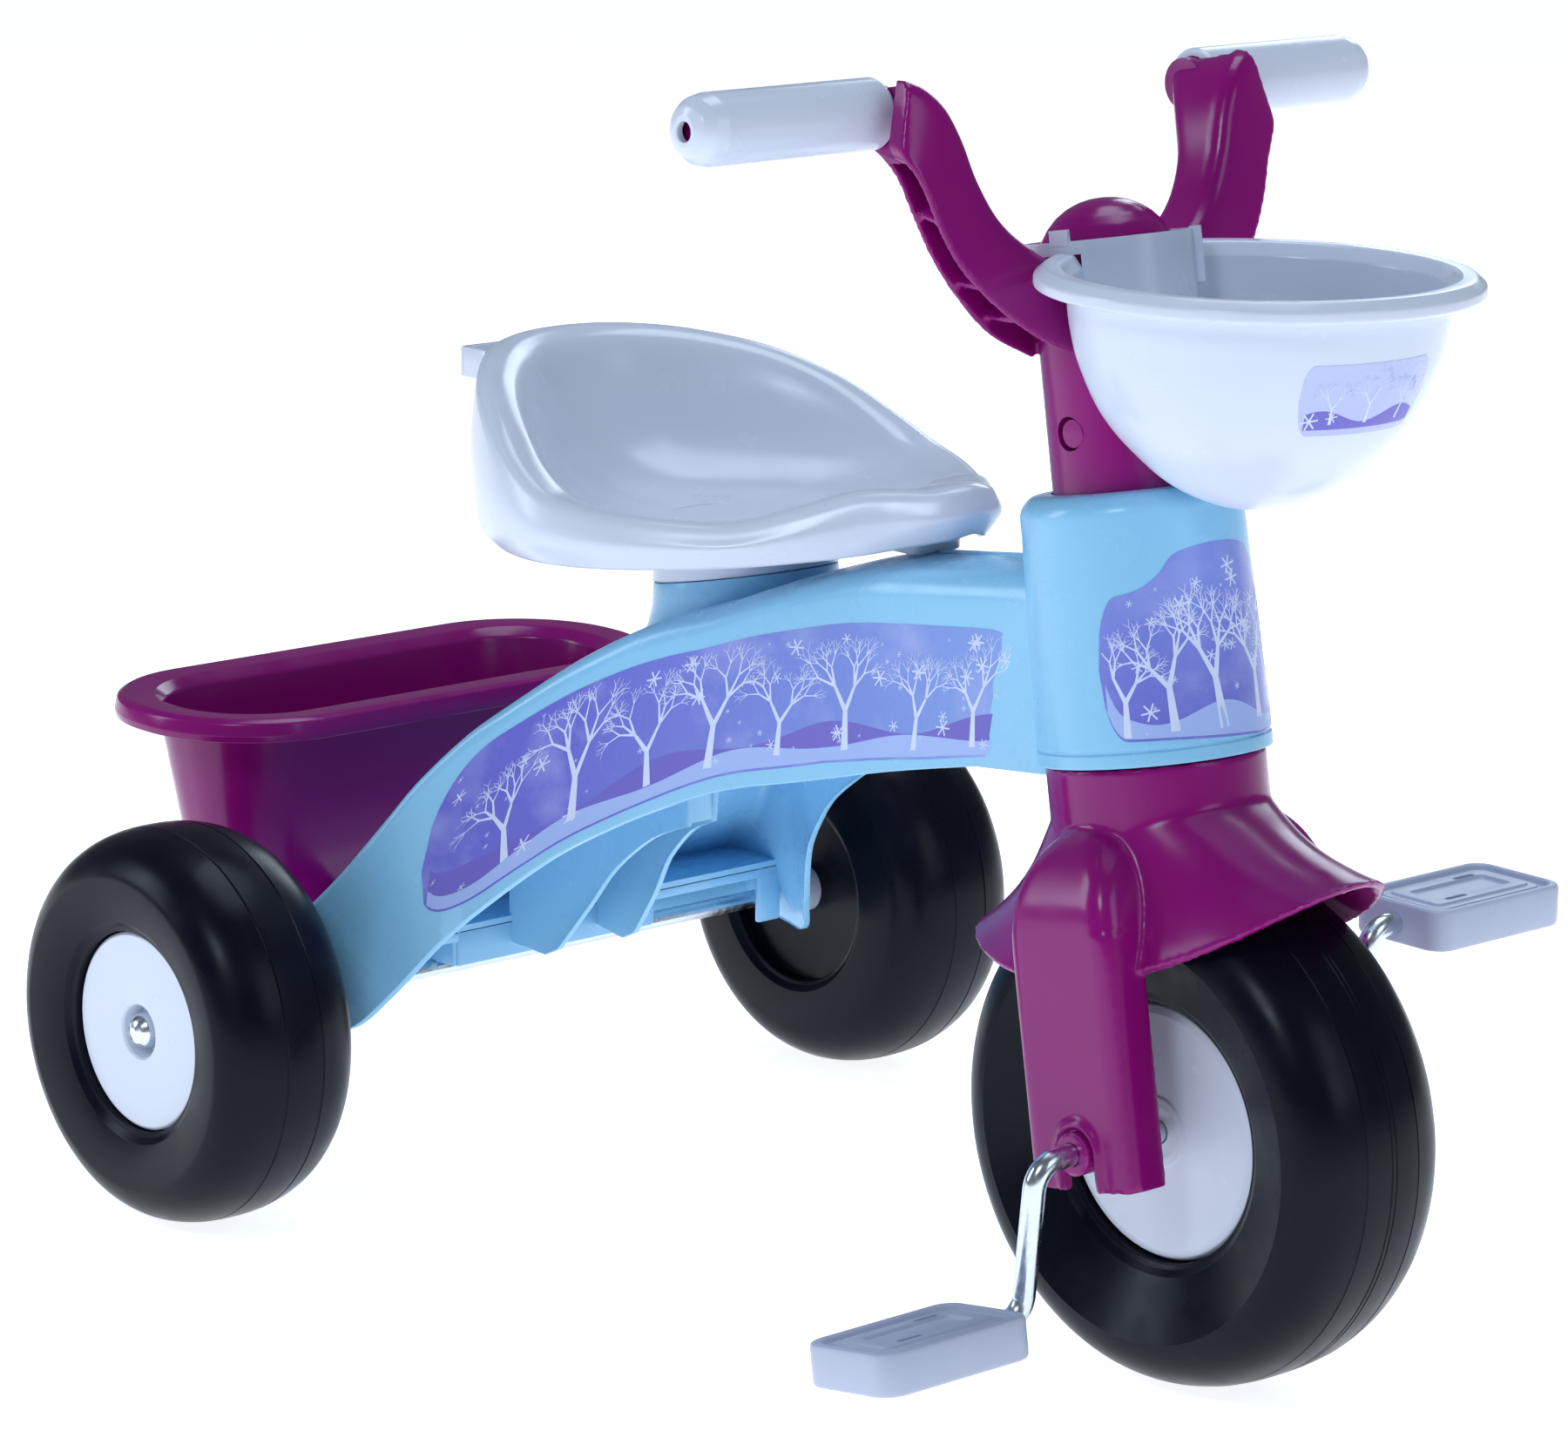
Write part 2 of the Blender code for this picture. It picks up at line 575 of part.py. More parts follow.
def fork_leg(name, side, pocket=False):
    """A leg of the fork, or the pocket that makes a shell of it, open towards the wheel."""
    wall = WALL if pocket else 0.0
    rings = []
    for s, inner, outer, rear, front in LEG_PATH:
        low_y, high_y = (inner - 8.5, outer - wall) if pocket else (inner, outer)
        low_f, high_f = rear + wall, front - wall
        if pocket and s > 110.0:
            continue
        height = s - 8.0 if pocket and s == LEG_LOW else s
        middle_y, middle_f = (low_y + high_y) / 2, (low_f + high_f) / 2
        outline = rounded_rect((high_f - low_f) / 2, (high_y - low_y) / 2, 5.0 - wall, 2)
        rings.append([(middle_f + f, side * (middle_y + y), height) for f, y in outline])
    return loft(name, rings, None, STEERING)


def fork():
    """Column, crown, mudguard skirt and both legs: one magenta moulding."""
    low, high = COLLAR_S
    column = [(STUB_R, 300.0), (STUB_R, high - 12.0), (JOURNAL_R, high - 12.0),
              (JOURNAL_R, low - GAP), (LOWER_COLUMN_R, low - GAP), (LOWER_COLUMN_R, CROWN_S[0]),
              (0.0, CROWN_S[0]), (0.0, CROWN_S[1]), (JOURNAL_R - WALL, CROWN_S[1]),
              (JOURNAL_R - WALL, high - 15.0), (STUB_R - WALL, high - 15.0),
              (STUB_R - WALL, 300.0)]
    item = turned_open("fork", column, "magenta", STEERING)
    skirt = skin_band("fork_skirt", skirt_rings(), WALL, None, STEERING)
    boolean(item, skirt, "UNION")
    for side, name in ((-1, "right"), (1, "left")):
        boolean(item, fork_leg("fork_leg_" + name, side), "UNION")
    for side, name in ((-1, "right"), (1, "left")):
        boolean(item, fork_leg("fork_pocket_" + name, side, True))
        low_y, high_y = sorted((side * 55.0, side * 72.0))
        boolean(item, block("axle_slot_" + name, (4.0 - 8.2, low_y, -30.0),
                            (4.0 + 8.2, high_y, 0.0), None, STEERING))
        seat_way = rod("bush_way_" + name, 8.8, (55.0, 72.0), None, STEERING, 24)
        seat_way.rotation_euler = (math.radians(-90.0 * side), 0.0, 0.0)
        seat_way.location = Vector((4.0, 0.0, 0.0)) * MM
        boolean(item, seat_way)
    bolt_way = rod("fork_bolt_way", BOLT_R + GAP, (-45.0, 45.0), None, STEERING)
    bolt_way.rotation_euler = (math.radians(90.0), 0.0, 0.0)
    bolt_way.location = Vector((0.0, 0.0, BOLT_S)) * MM
    boolean(item, bolt_way)
    close_seams(item)
    smooth(item)
    return item


def turned_open(name, profile, finish, parent):
    """A turned piece whose profile touches the axis in the middle of its list."""
    start = next(i for i, (r, _) in enumerate(profile) if r == 0.0) + 1
    ordered = profile[start:] + profile[:start]
    return turned(name, ordered, finish, parent)


def skin_band(name, rings, thickness, finish, parent):
    """A solidified surface through rings, open at both ends."""
    count = len(rings[0])
    points = [p for ring in rings for p in ring]
    faces = []
    for k in range(len(rings) - 1):
        for i in range(count):
            j = (i + 1) % count
            a, b = k * count, (k + 1) * count
            faces.append((a + i, a + j, b + j, b + i))
    mesh = mesh_from(name, points, faces)
    item = add_object(name, mesh, finish, parent)
    solid = item.modifiers.new("thickness", "SOLIDIFY")
    solid.thickness = thickness * MM
    solid.offset = -1.0
    return item


def arm_section(row, side, wall=0.0, reach=0.0):
    """A section of an arm in the plane through its inner and outer lines."""
    (inner_y, inner_s), (outer_y, outer_s), front, back = row
    across = Vector((outer_y - inner_y, outer_s - inner_s))
    width = across.length
    across.normalize()
    start, end = wall, width + reach
    corner = 8.0 - wall
    front, back = front - wall, back + wall
    outline = [(end, front), (start + corner, front), (start + 0.29 * corner,
               front - 0.29 * corner), (start, front - corner), (start, back + corner),
               (start + 0.29 * corner, back + 0.29 * corner), (start + corner, back), (end, back)]
    return [(f, side * (inner_y + across.x * w), inner_s + across.y * w) for w, f in outline]


def handlebar_arm(name, side, finish=None):
    """One arm: a channel with its open side down and outwards, and cross webs inside."""
    arm = loft(name, [arm_section(row, side) for row in ARM], finish, STEERING)
    rings = [arm_section(row, side, 2.6, 3.0) for row in ARM[1:-1]]
    rings[0] = between(rings[0], rings[1], 0.2)
    rings[-1] = between(rings[-1], rings[-2], 0.4)
    low_y, high_y = sorted((side * (GRIP_Y[0] - GAP), side * 120.0))
    boolean(arm, block(name + "_end_cut", (-60.0, low_y, 374.0), (20.0, high_y, 430.0), None,
                       STEERING))
    boolean(arm, loft(name + "_pocket", rings, None, STEERING))
    return arm


def between(ring, other, share):
    """A ring part of the way from one ring to the next."""
    return [tuple(Vector(a).lerp(Vector(b), share)) for a, b in zip(ring, other)]


def handlebar():
    """Upper column with its dome, both arms and the cores that the grips push on to."""
    dome_top = 357.5
    outer = [(0.0, dome_top), (9.0, dome_top - 1.4), (18.0, dome_top - 6.5),
             (25.0, dome_top - 15.5), (28.5, dome_top - 27.0), (UPPER_COLUMN_R, dome_top - 40.0),
             (UPPER_COLUMN_R, 236.0), (0.0, 236.0)]
    item = turned("handlebar", outer, "magenta", STEERING)
    for side, name in ((-1, "right"), (1, "left")):
        boolean(item, handlebar_arm("arm_" + name, side), "UNION")
        core = rod("core_" + name, CORE_R, (82.0, 174.0), None, STEERING, STEPS)
        core.rotation_euler = (math.radians(-90.0 * side), 0.0, 0.0)
        core.location = Vector((GRIP_F - COLUMN_F, 0.0, GRIP_S)) * MM
        boolean(item, core, "UNION")
    hollow = [(0.0, 342.0), (STUB_R - 4.0, 330.0), (STUB_R + GAP, 302.0), (STUB_R + GAP, 230.0),
              (0.0, 230.0)]
    boolean(item, turned("column_inside", hollow, None, STEERING))
    bolt_way = rod("bolt_way", 6.6, (-45.0, 45.0), None, STEERING, 20)
    bolt_way.rotation_euler = (math.radians(90.0), 0.0, 0.0)
    bolt_way.location = Vector((0.0, 0.0, BOLT_S)) * MM
    boolean(item, bolt_way)
    close_seams(item)
    smooth(item)
    return item


def stem_fasteners():
    """The cross bolt and nut that lock the handlebar to the fork."""
    bolt_profile = [(0.0, 28.8), (5.4, 28.8), (6.0, 28.0), (6.0, 26.5), (BOLT_R, 26.5),
                    (BOLT_R, -30.0), (0.0, -30.0)]
    bolt = turned("stem_bolt", bolt_profile, "steel", STEERING, 16)
    flat_to_corner = 1.0 / math.cos(math.radians(30.0))
    nut = tube("stem_nut", ((BOLT_R + GAP) * flat_to_corner, 6.2), (26.5, 29.5), "steel",
               STEERING, 6)
    bolt.rotation_euler = (math.radians(90.0), 0.0, 0.0)
    nut.rotation_euler = (math.radians(-90.0), 0.0, 0.0)
    for piece in (bolt, nut):
        piece.location = Vector((0.0, 0.0, BOLT_S)) * MM


def grip(name, side):
    """A soft-edged sleeve with a rounded, pierced end."""
    start, end = GRIP_Y
    bore = CORE_R + GAP
    profile = [(4.0, end), (8.0, end - 0.8), (11.8, end - 3.8), (GRIP_R, end - 9.0),
               (GRIP_R, start + 6.5), (bore, start + 6.5), (bore, 174.5), (4.0, 176.5)]
    item = turned(name, profile, "white", STEERING, 24)
    item.rotation_euler = (math.radians(-90.0 * side), 0.0, 0.0)
    item.location = Vector((GRIP_F - COLUMN_F, 0.0, GRIP_S)) * MM
    smooth(item)
    return item


def basket():
    """A bowl with a rolled rim, cut away behind where a band hugs the column."""
    rim = [(BASKET_R - 8.0, BASKET_Z + 2.5), (BASKET_R - 3.0, BASKET_Z + 2.0),
           (BASKET_R, BASKET_Z - 1.0), (BASKET_R, BASKET_Z - 4.5), (BASKET_R - 3.0, BASKET_Z - 4.0),
           (BASKET_R - 9.0, BASKET_Z - 3.5)]
    inside = [(max(r - WALL, 0.0), z + WALL * (1.0 if r < 50.0 else 0.3)) for r, z in BOWL]
    profile = rim + BOWL + list(reversed(inside)) + [(BASKET_R - 11.0, BASKET_Z - 1.0)]
    start = next(i for i, (r, _) in enumerate(profile) if r == 0.0) + 1
    item = turned("basket", profile[start:] + profile[:start], "white", CHASSIS, 28)
    item.location = Vector((BASKET_X, 0.0, 0.0)) * MM
    low, high = BASKET_BAND_S
    clear_r = UPPER_COLUMN_R + 0.5
    hollow = rod("basket_hollow", clear_r + WALL - 0.5, (180.0, 420.0), None, STEERING)
    boolean(item, hollow)
    band = tube("basket_band", (clear_r, clear_r + WALL), (low, high), None, STEERING)
    boolean(band, block("band_back", (-60.0, -60.0, low - 10.0), (13.0, 60.0, high + 10.0),
                        None, STEERING))
    boolean(item, band, "UNION")
    for side in (-1, 1):
        rings = [arm_section(row, side, -0.6, 0.6) for row in ARM]
        boolean(item, loft("basket_arm_way", rings, None, STEERING))
    smooth(item)
    return item


def axle_bush(name, side):
    """A bush clipped into a fork leg's slot, in which the crank turns."""
    profile = [(ROD_R + GAP, 69.0), (7.2, 69.0), (8.5, 68.0), (8.5, 57.0), (ROD_R + GAP, 57.0)]
    item = turned(name, profile, "magenta", STEERING, 20)
    item.rotation_euler = (math.radians(-90.0 * side), 0.0, 0.0)
    item.location = Vector((-COLUMN_F, 0.0, 0.0)) * MM
    smooth(item)
    return item


# ------------------------------------------------------------------ wheels, crank and pedals

def tyre_arc(radius, half_w, root_r, power, inset=0.0, stride=20):
    """Points over a tyre from its left side, over the tread, to its right side."""
    middle = root_r + 0.45 * (radius - root_r)
    points = []
    for degrees in range(80, -81, -stride):
        t = math.radians(degrees)
        up = abs(math.cos(t)) ** (2.0 / power)
        out = abs(math.sin(t)) ** (2.0 / power) * (1 if degrees >= 0 else -1)
        points.append((middle + (radius - inset - middle) * up, (half_w - inset) * out))
    return points


def wheel_body(name, radius, half_w, hub_r, faces, power, parent):
    """A hollow moulded wheel, with a seat for a hub disc where a face is given."""
    left_face, right_face = faces
    left_seat = left_face - 4.8
    right_seat = -(right_face - 4.8)
    bore = 11.0
    skin_t = 3.5
    outer = [(bore, left_seat), (hub_r + GAP, left_seat), (hub_r + GAP, left_face + 2.0)]
    outer += tyre_arc(radius, half_w, hub_r, power)
    outer += [(hub_r + GAP, -right_face - 2.0), (hub_r + GAP, right_seat), (bore, right_seat)]
    inner_arc = tyre_arc(radius, half_w, hub_r, power, skin_t, 40)
    inside = [(bore, right_seat + skin_t), (hub_r + 3.0, right_seat + skin_t)]
    inside += list(reversed(inner_arc))
    inside += [(hub_r + 3.0, left_seat - skin_t), (bore, left_seat - skin_t)]
    item = turned(name, outer + inside, "black", parent)
    item.rotation_euler = (math.radians(-90.0), 0.0, 0.0)
    smooth(item)
    return item


def rear_wheel(side_name, side):
    hub_y = side * REAR_TRACK_HALF
    centre = add_empty("rear_wheel_axis_" + side_name,
                       Vector((FRONT_AXLE_X + REAR_AXLE_X, hub_y, AXLE_Z)) * MM, 0.0)
    faces = (REAR_HUB_FACE, REAR_HALF_W - 4.0)
    body = wheel_body("rear_wheel_" + side_name, REAR_R, REAR_HALF_W, REAR_HUB_R, faces, 2.5,
                      centre)
    body.rotation_euler = (math.radians(-90.0 * side), 0.0, 0.0)
    face = REAR_HUB_FACE
    profile = [(10.6, face), (REAR_HUB_R - 1.5, face), (REAR_HUB_R, face - 1.5),
               (REAR_HUB_R, face - 4.5), (10.6, face - 4.5), (10.6, -REAR_HALF_W),
               (AXLE_R + GAP, -REAR_HALF_W), (AXLE_R + GAP, face - 8.5), (9.8, face - 8.5)]
    hub = turned("rear_hub_" + side_name, profile, "white", centre)
    hub.rotation_euler = (math.radians(-90.0 * side), 0.0, 0.0)
    smooth(hub)


def front_wheel():
    centre = add_empty("front_wheel_axis", Vector((FRONT_AXLE_X, 0.0, FRONT_R)) * MM, 0.0)
    wheel_body("front_wheel", FRONT_R, FRONT_HALF_W, FRONT_HUB_R,
               (FRONT_HUB_FACE, FRONT_HUB_FACE), 2.7, centre)
    face = FRONT_HUB_FACE
    for side, name in ((-1, "right"), (1, "left")):
        profile = [(ROD_R + GAP, face), (FRONT_HUB_R - 4.0, face), (FRONT_HUB_R - 0.8, face - 1.4),
                   (FRONT_HUB_R, face - 3.5), (FRONT_HUB_R, face - 4.5), (10.6, face - 4.5),
                   (10.6, GAP), (ROD_R + GAP, GAP)]
        hub = turned("front_hub_" + name, profile, "white", centre)
        hub.rotation_euler = (math.radians(-90.0 * side), 0.0, 0.0)
        smooth(hub)
    crank(centre)


def filleted(corners, radius, per_corner=5):
    """Round the corners of a path with arcs."""
    path = [Vector(corners[0])]
    for before, corner, after in zip(corners, corners[1:], corners[2:]):
        corner = Vector(corner)
        back = (Vector(before) - corner).normalized()
        ahead = (Vector(after) - corner).normalized()
        half_angle = back.angle(ahead) / 2.0
        reach = radius / math.tan(half_angle)
        centre = corner + (back + ahead).normalized() * (radius / math.sin(half_angle))
        start = (corner + back * reach - centre).normalized()
        end = (corner + ahead * reach - centre).normalized()
        for k in range(per_corner + 1):
            path.append(centre + start.slerp(end, k / per_corner) * radius)
    path.append(Vector(corners[-1]))
    return path


def crank(centre):
    """The steel rod: front axle, two crank arms and the two pedal spindles."""
    tip_x = CRANK_R * math.sin(CRANK_TILT)
    tip_z = CRANK_R * math.cos(CRANK_TILT)
    end_y = PEDAL_Y[1] - 6.0
    corners = [(-tip_x, -end_y, -tip_z), (-tip_x, -CRANK_ARM_Y, -tip_z), (0.0, -CRANK_ARM_Y, 0.0),
               (0.0, CRANK_ARM_Y, 0.0), (tip_x, CRANK_ARM_Y, tip_z), (tip_x, end_y, tip_z)]
    curve = bpy.data.curves.new("crank", "CURVE")
    curve.dimensions = "3D"
    curve.bevel_depth = ROD_R * MM
    curve.bevel_resolution = 2
    curve.use_fill_caps = True
    spline = curve.splines.new("POLY")
    path = filleted(corners, 10.0)
    spline.points.add(len(path) - 1)
    for point, place in zip(spline.points, path):
        point.co = (*(place * MM), 1.0)
    guide = bpy.data.objects.new("crank_guide", curve)
    MODEL.objects.link(guide)
    graph = bpy.context.evaluated_depsgraph_get()
    mesh = bpy.data.meshes.new_from_object(guide.evaluated_get(graph))
    bpy.data.objects.remove(guide, do_unlink=True)
    weld = bmesh.new()
    weld.from_mesh(mesh)
    bmesh.ops.remove_doubles(weld, verts=weld.verts, dist=0.00001)
    weld.to_mesh(mesh)
    weld.free()
    smooth(add_object("crank", mesh, "steel", centre))
    for index, (side, name) in enumerate(((-1, "right"), (1, "left"))):
        pedal(name, side, Vector((side * tip_x, 0.0, side * tip_z)), PEDAL_PITCH[index], centre)


def pedal(side_name, side, offset, pitch, centre):
    """A pedal block on its spindle, with an empty on the spindle's axis."""
    axis = add_empty("pedal_axis_" + side_name, offset * MM, pitch, centre)
    length, width, height = PEDAL_SIZE
    low_y, high_y = sorted((side * PEDAL_Y[0], side * PEDAL_Y[1]))
    outline = rounded_rect(length / 2, width / 2, 9.0, 4)
    middle_y = (low_y + high_y) / 2
    rings = [[(x, middle_y + y, z) for x, y in outline] for z in (-height / 2, height / 2)]
    item = loft("pedal_" + side_name, rings, "white", axis)
    round_edges(item, 1.2, 1)
    bore = rod("pedal_bore_" + side_name, ROD_R + GAP, (PEDAL_Y[0] - 5.0, PEDAL_Y[1] - 5.0),
               None, axis, 16)
    bore.rotation_euler = (math.radians(-90.0 * side), 0.0, 0.0)
    boolean(item, bore)
    smooth(item)


def main():
    global MODEL, CUTTERS, STEERING, CHASSIS
    clear_scene()
    MODEL = new_collection("tricycle")
    CUTTERS = new_collection("cutters")
    CHASSIS = add_empty("chassis", Vector((FRONT_AXLE_X, 0.0, 0.0)) * MM, 0.0)
    column_foot = Vector((FRONT_AXLE_X + COLUMN_F * math.cos(RAKE), 0.0,
                          FRONT_R + COLUMN_F * math.sin(RAKE)))
    STEERING = add_empty("steering_axis", column_foot * MM, -RAKE)
    frame_shell()
    seat()
    rear_bin()
    chassis_fasteners()
    rear_axle()
    fork()
    handlebar()
    stem_fasteners()
    for side, name in ((-1, "right"), (1, "left")):
        grip("grip_" + name, side)
        axle_bush("axle_bush_" + name, side)
        rear_wheel(name, side)
    basket()
    front_wheel()


main()
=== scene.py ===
"""Studio scene of the children's tricycle: finished pieces, materials, stickers, light and camera.

Shapes are written in millimetres: on the chassis from the ground under the front axle, on the
steering column as (f forward of the column's axis, y left, s up the raked column), and on wheels
round their centres.
"""
import math
import random

import bmesh
import bpy
from mathutils import Matrix, Vector


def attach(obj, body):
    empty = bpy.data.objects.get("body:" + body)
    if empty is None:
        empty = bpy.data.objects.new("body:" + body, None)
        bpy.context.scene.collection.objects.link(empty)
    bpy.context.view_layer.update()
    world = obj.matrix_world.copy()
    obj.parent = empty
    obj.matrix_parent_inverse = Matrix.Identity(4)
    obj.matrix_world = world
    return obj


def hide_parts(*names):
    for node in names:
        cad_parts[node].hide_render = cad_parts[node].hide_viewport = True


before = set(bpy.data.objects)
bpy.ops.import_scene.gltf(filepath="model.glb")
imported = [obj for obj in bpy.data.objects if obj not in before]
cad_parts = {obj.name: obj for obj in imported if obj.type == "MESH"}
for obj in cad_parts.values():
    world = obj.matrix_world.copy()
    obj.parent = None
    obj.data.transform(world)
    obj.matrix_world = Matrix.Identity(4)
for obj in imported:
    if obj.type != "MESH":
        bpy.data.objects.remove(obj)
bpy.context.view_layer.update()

MM = 0.001
FINE = 96                      # steps round a turned piece
RAKE = math.radians(10.0)
FRONT_AXLE_X = 234.0
COLUMN_F = -4.0
FRONT_R, FRONT_HALF_W, FRONT_HUB_R, FRONT_HUB_FACE = 102.0, 38.8, 51.0, 22.0
REAR_X, REAR_TRACK = -172.8, 186.5
REAR_R, REAR_HALF_W, REAR_HUB_R, REAR_HUB_FACE = 84.0, 34.2, 42.0, 24.5
UPPER_R, LOWER_R = 29.5, 42.5
SEAT_POST_X, SEAT_POST_TOP = -268.0, 275.0
SEAT_TILT = math.tan(math.radians(11.0))

CHASSIS_MM = Matrix.Translation((FRONT_AXLE_X, 0.0, 0.0))
STEERING_MM = (Matrix.Translation((FRONT_AXLE_X + COLUMN_F * math.cos(RAKE), 0.0,
                                   FRONT_R + COLUMN_F * math.sin(RAKE)))
               @ Matrix.Rotation(-RAKE, 4, "Y"))
FRONT_WHEEL_MM = Matrix.Translation((FRONT_AXLE_X, 0.0, FRONT_R))
SIDES = ((-1, "right"), (1, "left"))


def along_y(side):
    """Turns local Z to the outward Y of one side."""
    return Matrix.Rotation(math.radians(-90.0 * side), 4, "X")


def beside(side, near, far):
    """A range of y on one side of the middle, its lower end first."""
    return sorted((side * near, side * far))


# ------------------------------------------------------------------ shapes: (points, faces)

def loft(rings, caps=True):
    """Closed rings of equally many points, joined in order."""
    count = len(rings[0])
    points = [p for ring in rings for p in ring]
    faces = []
    for k in range(len(rings) - 1):
        for i in range(count):
            j = (i + 1) % count
            faces.append((k * count + i, k * count + j, (k + 1) * count + j, (k + 1) * count + i))
    if caps:
        faces.append(tuple(range(count)))
        faces.append(tuple((len(rings) - 1) * count + i for i in range(count)))
    return points, faces


def turned(profile, steps=FINE):
    """A closed profile of (r, z), or one that starts and ends on the axis, turned about Z."""
    count = len(profile)
    points, faces = [], []
    for k in range(steps):
        turn = 2.0 * math.pi * k / steps
        points += [(r * math.cos(turn), r * math.sin(turn), z) for r, z in profile]
    open_ends = profile[0][0] == 0.0 and profile[-1][0] == 0.0
    for k in range(steps):
        a, b = k * count, ((k + 1) % steps) * count
        for i in range(count - 1 if open_ends else count):
            j = (i + 1) % count
            faces.append((a + i, a + j, b + j, b + i))
    return points, faces


def filleted(path, radius, steps=4, closed=False):
    """A flat path with its corners rounded; a corner may bring its own radius as a third number."""
    count = len(path)
    made = []
    for i, corner in enumerate(path):
        here = Vector(corner[:2])
        if not closed and i in (0, count - 1):
            made.append(tuple(here))
            continue
        before = Vector(path[i - 1][:2]) - here
        after = Vector(path[(i + 1) % count][:2]) - here
        size = corner[2] if len(corner) > 2 else radius
        bend = before.angle(after)
        reach = min(size / math.tan(bend / 2.0), 0.45 * before.length, 0.45 * after.length)
        if size <= 0.0 or math.pi - bend < 0.05:
            made.append(tuple(here))
            continue
        start, end = here + before.normalized() * reach, here + after.normalized() * reach
        for k in range(steps + 1):
            t = k / steps
            point = start * (1 - t) ** 2 + here * 2 * t * (1 - t) + end * t * t
            made.append(tuple(point))
    return made


def refined(rows, parts, closed=False):
    """Catmull-Rom rows between rows of numbers."""
    count = len(rows)
    made = []
    for i in range(count if closed else count - 1):
        if closed:
            quad = [rows[(i + k) % count] for k in (-1, 0, 1, 2)]
        else:
            quad = [rows[min(max(i + k, 0), count - 1)] for k in (-1, 0, 1, 2)]
        for k in range(parts):
            t = k / parts
            made.append(tuple(
                0.5 * (2 * b + (c - a) * t + (2 * a - 5 * b + 4 * c - d) * t * t
                       + (3 * b - a - 3 * c + d) * t ** 3) for a, b, c, d in zip(*quad)))
    if not closed:
        made.append(tuple(rows[-1]))
    return made


def rounded_rect(half_x, half_y, radius, per_corner=6):
    """Corner-rounded rectangle as (x, y) pairs."""
    centres = [(half_x - radius, half_y - radius), (radius - half_x, half_y - radius),
               (radius - half_x, radius - half_y), (half_x - radius, radius - half_y)]
    outline = []
    for corner, (cx, cy) in enumerate(centres):
        for k in range(per_corner + 1):
            turn = math.radians(90.0 * (corner + k / per_corner))
            outline.append((cx + radius * math.cos(turn), cy + radius * math.sin(turn)))
    return outline


def slab(low, high, corner=1.0, ease=0.6):
    """A box between two corners with all its edges eased."""
    (x0, y0, z0), (x1, y1, z1) = low, high
    mid_x, mid_y = (x0 + x1) / 2, (y0 + y1) / 2
    rings = []
    for z, inset in ((z0, ease), (z0 + 0.3 * ease, 0.3 * ease), (z0 + ease, 0.0), (z1 - ease, 0.0),
                     (z1 - 0.3 * ease, 0.3 * ease), (z1, ease)):
        outline = rounded_rect((x1 - x0) / 2 - inset, (y1 - y0) / 2 - inset, corner, 2)
        rings.append([(mid_x + x, mid_y + y, z) for x, y in outline])
    return loft(rings)


def plate(outline, direction, half):
    """A flat outline of 3-D points made 2 * half thick along a direction, its edges eased."""
    middle = sum((Vector(p) for p in outline), Vector()) / len(outline)
    rings = []
    for share, inset in ((-1.0, 0.4), (-0.7, 0.0), (0.7, 0.0), (1.0, 0.4)):
        ring = []
        for p in outline:
            inward = (middle - Vector(p)).normalized() * inset
            ring.append(tuple(Vector(p) + inward + Vector(direction) * (half * share)))
        rings.append(ring)
    return loft(rings)


def tube(path, radius, sides=24):
    """A round rod along a path of points, turned without twist, with domed ends."""
    points = [Vector(p) for p in path]
    tangent = (points[1] - points[0]).normalized()
    normal = tangent.orthogonal().normalized()
    rings = []
    last = len(points) - 1
    for i, point in enumerate(points):
        ahead = (points[min(i + 1, last)] - points[max(i - 1, 0)]).normalized()
        normal = (normal - ahead * normal.dot(ahead)).normalized()
        binormal = ahead.cross(normal)
        size = radius * (0.8 if i in (0, last) else 1.0)
        ring = [tuple(point + (normal * math.cos(a) + binormal * math.sin(a)) * size)
                for a in (2.0 * math.pi * k / sides for k in range(sides))]
        rings.append(ring)
    return loft(rings)


def moved(shape, matrix):
    """The shape carried by a matrix whose shift is in millimetres."""
    points, faces = shape
    return [tuple(matrix @ Vector(p)) for p in points], faces


def shift(x, y, z):
    return Matrix.Translation((x, y, z))


# ------------------------------------------------------------------ pieces

def piece(name, shapes, place, finish, sharp=40.0):
    """One mesh object from several closed shapes, standing where its frame says.

    Edges that bend by more than sharp degrees are shaded as edges.
    """
    points, faces = [], []
    for shape_points, shape_faces in shapes:
        base = len(points)
        points += shape_points
        faces += [tuple(base + i for i in face) for face in shape_faces]
    matrix = Matrix.Scale(MM, 4) @ place
    mesh = bpy.data.meshes.new(name)
    mesh.from_pydata([matrix @ Vector(p) for p in points], [], faces)
    work = bmesh.new()
    work.from_mesh(mesh)
    bmesh.ops.remove_doubles(work, verts=work.verts, dist=2e-6)
    bmesh.ops.dissolve_degenerate(work, edges=work.edges, dist=1e-6)
    bmesh.ops.recalc_face_normals(work, faces=work.faces)
    work.to_mesh(mesh)
    work.free()
    mesh.shade_smooth()
    mesh.set_sharp_from_angle(angle=math.radians(sharp))
    item = bpy.data.objects.new(name, mesh)
    bpy.context.scene.collection.objects.link(item)
    mesh.materials.append(MATERIALS[finish])
    return item


def cutter(name, shapes, place):
    """A shape that only cuts others."""
    item = piece(name, shapes, place, "black")
    item.hide_render = True
    item.hide_viewport = True
    return item


def settle(item):
    """Apply the modifiers of a piece."""
    graph = bpy.context.evaluated_depsgraph_get()
    mesh = bpy.data.meshes.new_from_object(item.evaluated_get(graph))
    item.modifiers.clear()
    old = item.data
    item.data = mesh
    bpy.data.meshes.remove(old)
    mesh.name = item.name


